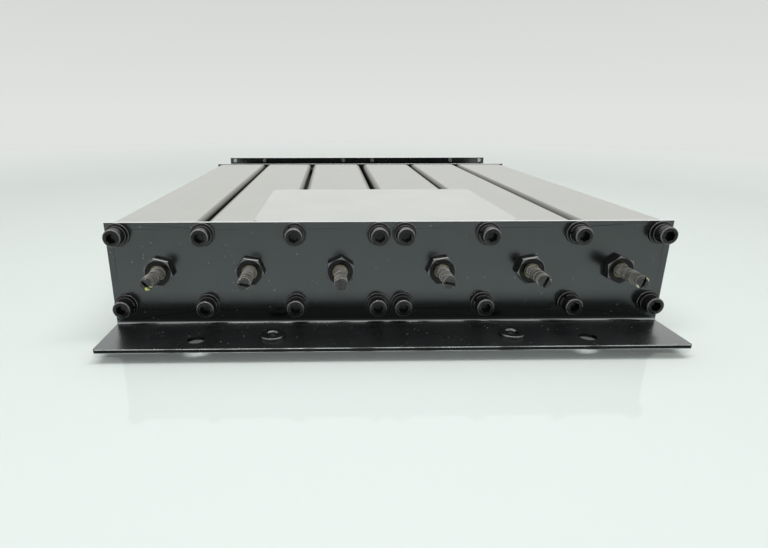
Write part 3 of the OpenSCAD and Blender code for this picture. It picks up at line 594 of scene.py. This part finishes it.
# %% [markdown]
# ## Dressing the solids
# The frame's solids have sharp edges, but a folded sheet or an extrusion catches a thin line of light
# along each edge. Their meshes stay as they are: a Weld modifier joins the loose triangles and a Bevel
# modifier rounds the edges by a tenth or two of a millimetre, which is all that the real edge has.

# %% Dress the frame's nodes
TINY = 0.001 * MM
ROUNDED_OVER = radians(40)


def dress(names, finish, edge=0.0):
    for name in names:
        piece = frame["nodes"][name]
        piece.data.materials.clear()
        piece.data.materials.append(finish)
        if edge:
            weld = piece.modifiers.new("weld", "WELD")
            weld.merge_threshold = TINY
            rounding = piece.modifiers.new("rounded_edges", "BEVEL")
            rounding.width = edge
            rounding.segments = 2
            rounding.limit_method = "ANGLE"
            rounding.angle_limit = ROUNDED_OVER
            rounding.use_clamp_overlap = False
            rounding.harden_normals = True


EACH = range(1, 7)
dress(["front_bracket", "rear_channel"], BLACK_PAINT, 0.18 * MM)
dress(["left_cavity_block", "right_cavity_block"], PALE_ANODISING, 0.10 * MM)
dress(["sticker"], STICKER_FILM)
dress(["tuning_bushings", "cable_ferrules", "jack_contacts"], BRASS)
dress([f"tuning_cup_{n}" for n in EACH], BRASS)
dress([f"resonator_coil_{n}" for n in EACH] + ["coupling_loops"], COPPER)
dress(["coil_formers"], FORMER)
dress(["jack_insulators"], INSULATOR)
dress(["low_jack", "antenna_jack", "high_jack", "jack_hoods"], BRIGHT_PLATE, 0.15 * MM)
dress(["jack_nuts", "jack_screws", "former_screws", "panel_rivets"], BRIGHT_PLATE)
dress(["clinch_nuts"], DARK_STEEL, 0.12 * MM)
dress([name for name in frame["nodes"] if name.startswith("jumper")], JACKET)
print("dressed", sum(1 for piece in frame["nodes"].values() if piece.data.materials), "nodes")

# %% [markdown]
# ## Modelling helpers
# Each new piece starts as a primitive, is shaped in edit mode, and ends with its place in its mesh and
# its object at the origin. An operator acts on all that is selected, so each start clears the
# selection, and faces or points are picked in code by where they lie.


# %% Modelling helpers
def clear_selection():
    if bpy.context.mode != "OBJECT":
        bpy.ops.object.mode_set(mode="OBJECT")
    bpy.ops.object.select_all(action="DESELECT")


def select_only(piece):
    clear_selection()
    piece.select_set(True)
    bpy.context.view_layer.objects.active = piece


def settled(name):
    """Ends a piece: back to object mode, its place in its mesh, and its name."""
    if bpy.context.mode != "OBJECT":
        bpy.ops.object.mode_set(mode="OBJECT")
    piece = bpy.context.object
    bpy.ops.object.transform_apply(location=True, rotation=True, scale=True)
    piece.name = name
    piece.data.name = name
    return piece


def pick(kind, rule):
    """Selects the faces or points of the edited mesh that the rule names, and nothing else."""
    bpy.ops.mesh.select_mode(type=kind)
    bpy.ops.mesh.select_all(action="DESELECT")
    mesh = bpy.context.edit_object.data
    edited = bmesh.from_edit_mesh(mesh)
    for part in edited.faces if kind == "FACE" else edited.verts:
        part.select_set(bool(rule(part)))
    edited.select_flush_mode()
    bmesh.update_edit_mesh(mesh)


def applied(piece, kind, **settings):
    """Adds a modifier with these settings and applies it."""
    select_only(piece)
    bpy.ops.object.modifier_add(type=kind)
    modifier = piece.modifiers[-1]
    for name, value in settings.items():
        setattr(modifier, name, value)
    bpy.ops.object.modifier_apply(modifier=modifier.name)
    return piece


def edges_rounded(piece, width, segments, over=ROUNDED_OVER):
    """Rounds each edge that bends by more than an angle."""
    return applied(piece, "BEVEL", width=width, segments=segments, limit_method="ANGLE", angle_limit=over)


def cut(piece, tool, how="DIFFERENCE"):
    """Cuts a piece with a tool shape, or keeps what lies in both, and throws the tool away."""
    applied(piece, "BOOLEAN", operation=how, object=tool, solver="EXACT")
    bpy.data.objects.remove(tool)
    return piece


def joined(name, pieces):
    """Several finished pieces become one object."""
    select_only(pieces[0])
    for piece in pieces:
        piece.select_set(True)
    bpy.ops.object.join()
    return settled(name)


def copy_of(model, name, place, turn=None):
    """A copy with its own mesh, turned about the origin and then moved, all of it in the mesh."""
    made = model.copy()
    made.data = model.data.copy()
    made.name = name
    made.data.name = name
    bpy.context.scene.collection.objects.link(made)
    made.data.transform(Matrix.Translation(place) @ (turn or Matrix.Identity(4)))
    return made


def smooth(piece, angle=35):
    select_only(piece)
    bpy.ops.object.shade_smooth_by_angle(angle=radians(angle))
    return piece


def painted(piece, *finishes):
    """The first finish goes on every face, and the others wait in their slots."""
    piece.data.materials.clear()
    for finish in finishes:
        piece.data.materials.append(finish)
    return piece


def off_axis(place):
    """How far a place lies from the Y axis, round which all these pieces are made."""
    return Vector((place.x, place.z)).length


def round_bar(radius, start, end, sides=64):
    """A cylinder along Y, from one station to another."""
    clear_selection()
    bpy.ops.mesh.primitive_cylinder_add(
        vertices=sides, radius=radius, depth=end - start,
        location=(0, (start + end) / 2, 0), rotation=(pi / 2, 0, 0),
    )
    return settled("bar")


def saw_block(name, station, size):
    """A block round the Y axis, to cut a slot with."""
    clear_selection()
    bpy.ops.mesh.primitive_cube_add(size=1, location=(0, station, 0))
    bpy.ops.transform.resize(value=size)
    return settled(name)


# %% [markdown]
# ## Threads
# A thread is one tooth, wound round an axis. The Screw modifier does that: the tooth is drawn as two
# short edges, and each turn of the modifier moves it on by one pitch, so each turn's foot meets the
# next one's and the two are merged. The winding starts and ends in a step, so a bisect cuts both ends
# flat and fills them. Scaling the first points towards the axis gives the lead-in that a screw has.

# %% A threaded bar
LEAD_SHARES = (1.0, 0.6, 0.3)
LEAD_SHRINK = 0.94


def threaded_bar(radius, pitch, start, end, depth, steps, lead):
    """A right-hand thread along Y from start to end, with a lead-in at the start."""
    clear_selection()
    bpy.ops.mesh.primitive_plane_add(size=pitch, location=(radius - depth, start - 2 * pitch, 0))
    bpy.ops.object.transform_apply(location=True)
    bpy.ops.object.mode_set(mode="EDIT")
    bpy.ops.mesh.select_mode(type="VERT")
    bpy.ops.mesh.select_all(action="SELECT")
    bpy.ops.mesh.merge(type="CENTER")
    for slope in (1, -1):
        bpy.ops.mesh.extrude_region_move(TRANSFORM_OT_translate={"value": (slope * depth, pitch / 2, 0)})
    bar = settled("thread")
    turns = int((end - start) / pitch) + 4
    applied(bar, "SCREW", axis="Y", angle=2 * pi, screw_offset=pitch, iterations=turns, steps=steps)
    bpy.ops.object.mode_set(mode="EDIT")
    bpy.ops.mesh.select_all(action="SELECT")
    bpy.ops.mesh.remove_doubles(threshold=2 * TINY)
    for station, keep_above in ((start, True), (end, False)):
        bpy.ops.mesh.select_all(action="SELECT")
        bpy.ops.mesh.bisect(
            plane_co=(0, station, 0), plane_no=(0, 1, 0), use_fill=True, threshold=TINY,
            clear_inner=keep_above, clear_outer=not keep_above,
        )
    for share in LEAD_SHARES:
        pick("VERT", lambda point: point.co.y < start + share * lead)
        bpy.ops.transform.resize(value=(LEAD_SHRINK, 1, LEAD_SHRINK), center_override=(0, start, 0))
    bpy.ops.mesh.select_all(action="SELECT")
    bpy.ops.mesh.normals_make_consistent(inside=False)
    return settled("thread")


# %% [markdown]
# ## Cap screws
# A socket cap screw is turned from bar: a tall round head with a knurled side and a chamfered rim, a
# broached hexagon, and a threaded shank. The head starts as a cylinder with twice as many sides as
# knurls. Every second corner is pushed out to make the ridges, an inset makes the chamfer, and the
# hexagon is cut out. By where they lie, faces in the socket get painted shade, and faces on the chamfer
# get wear with a painted highlight.

# %% One cap screw
HEAD_R = 6.86 / 2 * MM
HEAD_H = 4.17 * MM
SHANK_R = 4.16 / 2 * MM
SHANK_LENGTH = 12.7 * MM
SHANK_PITCH = 25.4 / 32 * MM
SHANK_THREAD = 0.36 * MM
SHANK_LEAD = 0.6 * MM
HEX_ACROSS_FLATS = 3.57 * MM
HEX_CORNER_R = HEX_ACROSS_FLATS / 2 / cos(pi / 6)
SOCKET_DEPTH = HEAD_H * 0.55
RIM_CHAMFER = 0.34 * MM
KNURLS = 34
KNURL_DEPTH = 0.16 * MM


def knurled_head():
    core = HEAD_R - KNURL_DEPTH
    round_bar(core, -HEAD_H + RIM_CHAMFER, 0, 2 * KNURLS)
    bpy.ops.object.mode_set(mode="EDIT")
    spacing = pi / KNURLS

    def on_ridge(point):
        turn = round(Vector((point.co.x, point.co.z)).angle_signed(Vector((0, 1)), 0) / spacing)
        return turn % 2 == 0

    pick("VERT", on_ridge)
    bpy.ops.transform.resize(value=(HEAD_R / core, 1, HEAD_R / core))
    pick("FACE", lambda face: face.normal.y < -0.9)
    bpy.ops.mesh.inset(thickness=RIM_CHAMFER, depth=RIM_CHAMFER)
    pick("FACE", lambda face: face.normal.y > 0.9)
    bpy.ops.mesh.inset(thickness=0.2 * MM, depth=0)
    head = settled("head")
    return cut(head, round_bar(HEX_CORNER_R, -HEAD_H - SOCKET_DEPTH, -HEAD_H + SOCKET_DEPTH, 6))


def cap_screw():
    shank = threaded_bar(SHANK_R, SHANK_PITCH, -SHANK_LENGTH, -0.1 * MM, SHANK_THREAD, 20, SHANK_LEAD)
    shank.data.transform(Matrix.Rotation(pi, 4, "Z"))
    made = joined("cap_screw", [knurled_head(), shank])
    edges_rounded(made, 0.05 * MM, 1, radians(38))
    painted(made, BLACK_OXIDE, SOCKET_PAINTED_SHADE, EDGE_WEAR_AND_HIGHLIGHT)
    # Socket faces get painted shade; rim chamfer faces get wear with a painted highlight.
    for face in made.data.polygons:
        from_axis = off_axis(face.center)
        in_head = -HEAD_H + 0.06 * MM < face.center.y < -0.3 * MM
        if in_head and from_axis < HEX_ACROSS_FLATS * 0.58:
            face.material_index = 1
        elif 0.15 < -face.normal.y < 0.95 and from_axis > HEAD_R - 1.1 * RIM_CHAMFER:
            face.material_index = 2
    return smooth(made, 30)


CAP_SCREW = cap_screw()
print("cap screw:", len(CAP_SCREW.data.polygons), "faces")

# %% [markdown]
# ## Washers
# A flat washer is stamped, so its top edge is a little rounded. A split lock washer is a ring of square
# wire with a slanted cut, its two ends sprung apart. Both are a small section spun round the screw's
# axis, and the split one simply stops short of the full turn. Both rims are worn and painted lighter as
# a highlight.

# %% Washers
FLAT_R = 9.2 / 2 * MM
FLAT_T = 0.8 * MM
LOCK_R = 7.4 / 2 * MM
LOCK_T = 1.0 * MM
LOCK_TURN = radians(346)
WASHER_BORE = (4.16 / 2 + 0.17) * MM
RIM_WEAR_AND_HIGHLIGHT_WIDTH = 0.17 * MM
RING_STEPS = 56


def spun_ring(inner, outer, thickness, turn=2 * pi):
    """A rectangular section spun about Y, from the seat at y = 0 towards the front."""
    clear_selection()
    bpy.ops.mesh.primitive_plane_add(size=1, location=((inner + outer) / 2, -thickness / 2, 0))
    bpy.ops.transform.resize(value=(outer - inner, thickness, 1))
    bpy.ops.object.transform_apply(location=True, scale=True)
    bpy.ops.object.mode_set(mode="EDIT")
    bpy.ops.mesh.select_all(action="SELECT")
    if turn == 2 * pi:
        bpy.ops.mesh.delete(type="ONLY_FACE")
        bpy.ops.mesh.select_all(action="SELECT")
    bpy.ops.mesh.spin(steps=RING_STEPS, angle=turn, center=(0, 0, 0), axis=(0, 1, 0))
    bpy.ops.mesh.select_all(action="SELECT")
    bpy.ops.mesh.remove_doubles(threshold=TINY)
    bpy.ops.mesh.normals_make_consistent(inside=False)
    return settled("ring")


def rim_worn_and_highlighted(washer, radius):
    """Black, with its rounded outer rim worn and painted a little lighter as a highlight."""
    painted(washer, BLACK_OXIDE, EDGE_WEAR_AND_HIGHLIGHT)
    for face in washer.data.polygons:
        # The outer rim gets wear with a painted highlight.
        if off_axis(face.center) > radius - RIM_WEAR_AND_HIGHLIGHT_WIDTH and 0.15 < -face.normal.y < 0.97:
            face.material_index = 1
    return washer


def flat_washer():
    made = edges_rounded(spun_ring(WASHER_BORE, FLAT_R, FLAT_T), 0.16 * MM, 3)
    return smooth(rim_worn_and_highlighted(made, FLAT_R))


def lock_washer():
    made = edges_rounded(spun_ring(WASHER_BORE, LOCK_R, LOCK_T, LOCK_TURN), 0.14 * MM, 2)
    return smooth(rim_worn_and_highlighted(made, LOCK_R))


FLAT_WASHER = flat_washer()
LOCK_WASHER = lock_washer()
print("washers:", len(FLAT_WASHER.data.polygons), "and", len(LOCK_WASHER.data.polygons), "faces")

# %% [markdown]
# ## Setting the fasteners
# Sixteen screws hold the front plate and sixteen the end plate, each with both washers. They were
# tightened by hand, so every head stopped at another angle. A sine of the screw's number gives such an
# uneven turn, the same on each run.

# %% Set the fasteners
FACES = {"front": (PLATE_FACE, 0.0), "rear": (END_BACK, pi)}


def uneven_turn(number):
    return 2 * pi * sin(12.9 * number + 4.1 * sin(7.3 * number))


def set_fasteners(end, model, stack, label):
    """Copies of one fastener at all sixteen places of one end, joined as one piece."""
    station, about_z = FACES[end]
    facing = Matrix.Rotation(about_z, 4, "Z") @ Matrix.Translation((0, -stack, 0))
    copies = []
    for number, (x, z) in enumerate((x, z) for x in SCREW_X for z in SCREW_Z):
        turn = facing @ Matrix.Rotation(uneven_turn(number), 4, "Y")
        copies.append(copy_of(model, f"{end}_{label}_{number}", (x, station, z), turn))
    group = joined(f"{end}_{label}_finished", copies)
    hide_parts(f"{end}_{label}")
    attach(group, "root")


for end in FACES:
    set_fasteners(end, CAP_SCREW, FLAT_T + LOCK_T, "cap_screws")
    set_fasteners(end, LOCK_WASHER, FLAT_T, "lock_washers")
    set_fasteners(end, FLAT_WASHER, 0.0, "flat_washers")
for model in (CAP_SCREW, LOCK_WASHER, FLAT_WASHER):
    bpy.data.objects.remove(model)
print("fasteners set on both ends")

# %% [markdown]
# ## Tuning screws
# Each tuner is a long blackened brass screw with a slot in its tip. Inside the box it ends in a collar
# and a plain journal that carries the tuning cup. The threaded part is wound as above, the slot is cut
# with a thin block, and the journal is a bar whose ends are extruded in steps. Each point of the mesh
# stores how near it lies to the crest of the thread or to the tip's rim, for the finish to read.

# %% One tuning screw
TUNER_R = 4.8 / 2 * MM
TUNER_PITCH = 25.4 / 32 * MM
TUNER_LEAD = 0.7 * MM
THREAD_DEPTH = 0.48 * MM
TUNER_LENGTH = 50.4 * MM
COLLAR_R = 6.8 / 2 * MM
COLLAR_T = 0.8 * MM
HUB_LENGTH = 8 * MM
PEEN_T = 1 * MM
PEEN_R = TUNER_R + 0.8 * MM
RUNNING_GAP = 0.05 * MM
SLOT_W = 1.0 * MM
SLOT_DEPTH = 1.6 * MM
SLOT_ANGLE = {1: -48, 2: -12, 3: -82, 4: -9, 5: 68, 6: 76}


def stepped_bar(radii_and_ends, start):
    """A bar along Y whose radius changes in steps: each step is (radius, where it ends)."""
    radius, station = radii_and_ends[0]
    round_bar(radius, start, station, 48)
    bpy.ops.object.mode_set(mode="EDIT")
    for next_radius, next_end in radii_and_ends[1:]:
        pick("FACE", lambda face: face.normal.y > 0.9 and face.calc_center_median().y > station - 0.01 * MM)
        bpy.ops.mesh.extrude_region_move(TRANSFORM_OT_translate={"value": (0, 0, 0)})
        share = next_radius / radius
        bpy.ops.transform.resize(value=(share, 1, share), center_override=(0, station, 0))
        bpy.ops.mesh.extrude_region_move(TRANSFORM_OT_translate={"value": (0, next_end - station, 0)})
        radius, station = next_radius, next_end
    bpy.ops.mesh.select_all(action="SELECT")
    bpy.ops.mesh.normals_make_consistent(inside=False)
    return settled("stepped_bar")


def mark_crests_and_rim(screw):
    """Stores 1 at the thread's crests, where they wear, and at the tip's rim, for a painted highlight, and
    0 at the thread's root.
    """
    crest = screw.data.attributes.new("crest", "FLOAT", "POINT")
    for number, point in enumerate(screw.data.vertices):
        from_axis = off_axis(point.co)
        # The tip's rim gets 1, for a painted highlight there.
        at_rim = 0.05 * MM < point.co.y < 0.5 * MM and from_axis > 0.6 * TUNER_R
        crest.data[number].value = 1 if at_rim else (from_axis - TUNER_R + THREAD_DEPTH) / THREAD_DEPTH


def tuning_screw():
    hub_start = TUNER_LENGTH - PEEN_T - HUB_LENGTH
    collar_start = hub_start - COLLAR_T
    thread_end = collar_start + 0.2 * MM
    thread = threaded_bar(TUNER_R, TUNER_PITCH, 0, thread_end, THREAD_DEPTH, 32, TUNER_LEAD)
    thread = cut(thread, saw_block("slot_saw", 0, (4 * TUNER_R, 2 * SLOT_DEPTH, SLOT_W)))
    journal = stepped_bar(
        [
            (COLLAR_R, hub_start - RUNNING_GAP),
            (TUNER_R, hub_start + HUB_LENGTH + RUNNING_GAP),
            (PEEN_R, TUNER_LENGTH - 0.3 * MM),
            (TUNER_R, TUNER_LENGTH),
        ],
        collar_start,
    )
    screw = smooth(joined("tuning_screw", [thread, journal]), 30)
    mark_crests_and_rim(screw)
    return screw


TUNING_SCREW = tuning_screw()
print("tuning screw:", len(TUNING_SCREW.data.polygons), "faces")

# %% [markdown]
# ## The tuners' finish
# Handling has worn the black off the crests of the threads, more in some bands than in others, and
# brass shows there. The tips' rims carry the same pale brass as a painted highlight. The stored values
# choose the place and a noise that is drawn out across the screw chooses the bands. Three tips carry a
# dab of yellow-green paint: each is a ball round a measured point, so it needs no mesh of its own.

# %% The tuners' finish
BLACKENED = (0.004, 0.004, 0.004)
CREST_WEAR_AND_RIM_HIGHLIGHT = (0.48, 0.45, 0.395)
PAINT_GREEN = (0.62, 0.66, 0.22)
# For each dabbed tuner: the dab's place right of its axis and above it, and the dab's radius, in mm.
PAINT_DABS = {1: (1.1, -2.0, 1.7), 2: (2.0, -0.4, 0.7), 6: (0.6, 2.0, 0.8)}


def tuner_finish():
    """Blackened brass. The thread's crests have worn bright, the tips' rims carry a painted highlight, and
    three tips carry a dab of paint.
    """
    made, tree, shader = new_finish("worn_black_brass", (0.01, 0.01, 0.01), 0.2, ior=1.7)
    place = object_place(tree)
    crest = node(tree, "Attribute")
    crest.attribute_name = "crest"
    bands = noise(tree, object_place(tree, (160, 900, 160)), 1.0, 1.0)
    patchy = in_range(tree, bands, 0.42, 0.60, 0.04, 1)
    wear_and_rim_highlight = times(tree, in_range(tree, crest.outputs["Fac"], 0.72, 1.0, 0, 1), patchy)
    colour = mixed(tree, wear_and_rim_highlight, BLACKENED, CREST_WEAR_AND_RIM_HIGHLIGHT)
    for number, (right, up, size) in PAINT_DABS.items():
        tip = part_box(f"tuning_screw_{number}")[0].y
        distance = node(tree, "VectorMath", Vector=place)
        distance.operation = "DISTANCE"
        distance.inputs[1].default_value = (AXIS[number].x + right * MM, tip, AXIS_Z + up * MM)
        dab = in_range(tree, distance.outputs["Value"], size * MM, size * 0.75 * MM, 0, 0.9)
        colour = mixed(tree, dab, colour, PAINT_GREEN)
        wear_and_rim_highlight = times(tree, wear_and_rim_highlight, in_range(tree, dab, 0, 1, 1, 0))
    tree.links.new(colour, shader.inputs["Base Color"])
    tree.links.new(wear_and_rim_highlight, shader.inputs["Metallic"])
    vary_gloss(tree, shader, noise(tree, place, 900), 0.15, 0.28)
    return made


TUNER_WORN = tuner_finish()
print("finish:", TUNER_WORN.name, "with", len(PAINT_DABS), "dabs of paint")

# %% [markdown]
# ## Jam nuts
# A jam nut is a thin hexagon whose corners are turned off at both faces. A cone would do that on a
# lathe: here the hexagon is kept only where a chamfered disc also is. A second cut makes the bore with
# its countersinks, where the black finish has worn to brass. The turned corners are worn and painted
# lighter as a highlight, and the flats that face up carry a film of dust and a painted highlight on
# their front half.

# %% One jam nut
NUT_ACROSS_FLATS = 9.9 * MM
NUT_T = 3.2 * MM
NUT_CORNER_R = NUT_ACROSS_FLATS / 2 / cos(pi / 6)
NUT_CHAMFER = 0.85 * MM
NUT_CHAMFER_DEPTH = 0.42 * MM
NUT_BORE_R = 4.9 / 2 * MM
COUNTERSINK = 0.45 * MM
SPARE = 0.2 * MM
NUT_ANGLE = {1: 16, 2: 22, 3: 55, 4: 38, 5: 40, 6: 67}


def dust_and_highlight_flat():
    """Pale dust and a painted highlight on the front half of a flat, and black behind it."""
    made, tree, shader = new_finish("nut_top_dust_and_highlight", (0.4, 0.4, 0.39), 0.4)
    front = ramp(tree, "Y", PLATE_FACE - 0.50 * NUT_T, PLATE_FACE - 0.62 * NUT_T)
    # Dust and a painted highlight together make the pale front half.
    tree.links.new(mixed(tree, front, BLACKENED, (0.36, 0.36, 0.35)), shader.inputs["Base Color"])
    return made


NUT_FINISHES = [
    new_finish("blackened_nut", (0.003, 0.003, 0.003), 0.25, ior=1.35)[0],
    new_finish("pale_brass_wear", (0.80, 0.74, 0.46), 0.35, metallic=0.4)[0],
    EDGE_WEAR_AND_HIGHLIGHT,
    dust_and_highlight_flat(),
]


def chamfered_disc(radius, start, end, chamfer, depth):
    round_bar(radius, start + depth, end - depth, 96)
    bpy.ops.object.mode_set(mode="EDIT")
    pick("FACE", lambda face: abs(face.normal.y) > 0.9)
    bpy.ops.mesh.inset(thickness=chamfer, depth=depth, use_individual=True)
    return settled("disc")


def countersunk_bore():
    """The bore as a solid, wider towards both ends and a little longer than the nut."""
    round_bar(NUT_BORE_R, -NUT_T + COUNTERSINK, -COUNTERSINK, 48)
    bpy.ops.object.mode_set(mode="EDIT")
    reach = COUNTERSINK + SPARE
    share = (NUT_BORE_R + reach) / NUT_BORE_R
    for side in (-1, 1):
        pick("FACE", lambda face: face.normal.y * side > 0.9)
        bpy.ops.mesh.extrude_region_move(TRANSFORM_OT_translate={"value": (0, side * reach, 0)})
        bpy.ops.transform.resize(value=(share, 1, share))
    return settled("countersunk_bore")


def jam_nut():
    nut = round_bar(NUT_CORNER_R, -NUT_T, 0, 6)
    disc = chamfered_disc(NUT_CORNER_R, -NUT_T, 0, NUT_CHAMFER, NUT_CHAMFER_DEPTH)
    nut = cut(cut(nut, disc, "INTERSECT"), countersunk_bore())
    edges_rounded(nut, 0.12 * MM, 2, radians(38))
    painted(nut, *NUT_FINISHES)
    # Countersinks show worn brass; the turned corners get wear with a painted highlight.
    for face in nut.data.polygons:
        from_axis = off_axis(face.center)
        slanted = 0.15 < abs(face.normal.y) < 0.95
        if slanted and from_axis < NUT_BORE_R + 0.7 * COUNTERSINK:
            face.material_index = 1
        elif slanted and from_axis > 0.45 * NUT_ACROSS_FLATS:
            face.material_index = 2
    return smooth(nut, 35)


def dust_and_light_top_flats(nut):
    """The flats that face up carry a film of pale dust and a painted highlight."""
    for face in nut.data.polygons:
        if face.normal.z > 0.93 and face.center.z > AXIS_Z:
            face.material_index = 3


JAM_NUT = jam_nut()
print("jam nut:", len(JAM_NUT.data.polygons), "faces")

# %% [markdown]
# ## Setting the tuners
# Every tuner and every nut was left at its own angle, as measured in the photograph. Each screw starts
# where its solid's tip is, so it stands out by the right length, and rides on the body that turns it.


# %% Set the tuners
def turned_copy(model, name, number, station, degrees):
    """A copy on one tuner's axis, at a station along Y, turned anticlockwise as seen from the front."""
    turn = Matrix.Rotation(-radians(degrees), 4, "Y")
    return copy_of(model, name, Vector((AXIS[number].x, station, AXIS_Z)), turn)


for number in EACH:
    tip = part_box(f"tuning_screw_{number}")[0].y
    screw = turned_copy(TUNING_SCREW, f"threaded_tuner_{number}", number, tip, SLOT_ANGLE[number])
    painted(screw, TUNER_WORN)
    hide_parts(f"tuning_screw_{number}")
    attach(screw, f"screw_{number}")
    nut = turned_copy(JAM_NUT, f"chamfered_nut_{number}", number, PLATE_FACE, NUT_ANGLE[number])
    dust_and_light_top_flats(nut)
    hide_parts(f"jam_nut_{number}")
    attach(nut, f"nut_{number}")
bpy.data.objects.remove(TUNING_SCREW)
bpy.data.objects.remove(JAM_NUT)
print("six tuners and six nuts set")

# %% [markdown]
# ## Jacks
# The solids leave the three panel jacks' barrels plain, at the thread's outer size. Here one jack is
# made again: its barrel is turned down, a threaded sleeve goes over it, and the four notches are sawn
# through the sleeve's rim. The other two are copies, moved along X.

# %% Threaded jacks
BARREL_R = 15.88 / 2 * MM
BARREL_LENGTH = 14.3 * MM
BARREL_PITCH = 25.4 / 24 * MM
BARREL_THREAD = 0.62 * MM
BARREL_LEAD = 0.8 * MM
BARREL_RELIEF = 1.3 * MM
NOTCH_DEPTH = 1.0 * MM
NOTCH_W = 1.6 * MM
OVER = 1 * MM
JACKS = ("low_jack", "antenna_jack", "high_jack")


def threaded_jack(name):
    low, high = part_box(name)
    middle = Vector(((low.x + high.x) / 2, 0, (low.z + high.z) / 2))
    rim = high.y
    root = BARREL_R - BARREL_THREAD
    start = rim - BARREL_LENGTH + BARREL_RELIEF
    body = copy_of(frame["nodes"][name], "turned_jack", -middle)
    body.modifiers.clear()
    applied(body, "WELD", merge_threshold=TINY)
    core = round_bar(root, start - OVER, rim + 2 * OVER, 96)
    body = cut(body, cut(round_bar(BARREL_R + OVER, start, rim + OVER, 96), core))
    thread = threaded_bar(BARREL_R, BARREL_PITCH, 0, rim - start, BARREL_THREAD, 48, BARREL_LEAD)
    thread = cut(thread, round_bar(root - 0.2 * MM, -OVER, rim - start + OVER, 96))
    thread.data.transform(Matrix.Translation((0, rim, 0)) @ Matrix.Rotation(pi, 4, "Z"))
    for across in ((4 * BARREL_R, 2 * NOTCH_DEPTH, NOTCH_W), (NOTCH_W, 2 * NOTCH_DEPTH, 4 * BARREL_R)):
        thread = cut(thread, saw_block("notch_saw", rim, across))
    made = painted(joined("threaded_jack", [body, thread]), BRIGHT_PLATE)
    made.data.transform(Matrix.Translation(middle))
    return smooth(made, 30), middle


JACK, JACK_MIDDLE = threaded_jack(JACKS[0])
for name in JACKS:
    low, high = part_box(name)
    shift = Vector(((low.x + high.x) / 2 - JACK_MIDDLE.x, 0, 0))
    jack = copy_of(JACK, f"{name}_threaded", shift)
    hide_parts(name)
    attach(jack, "root")
bpy.data.objects.remove(JACK)
print("three threaded jacks set")
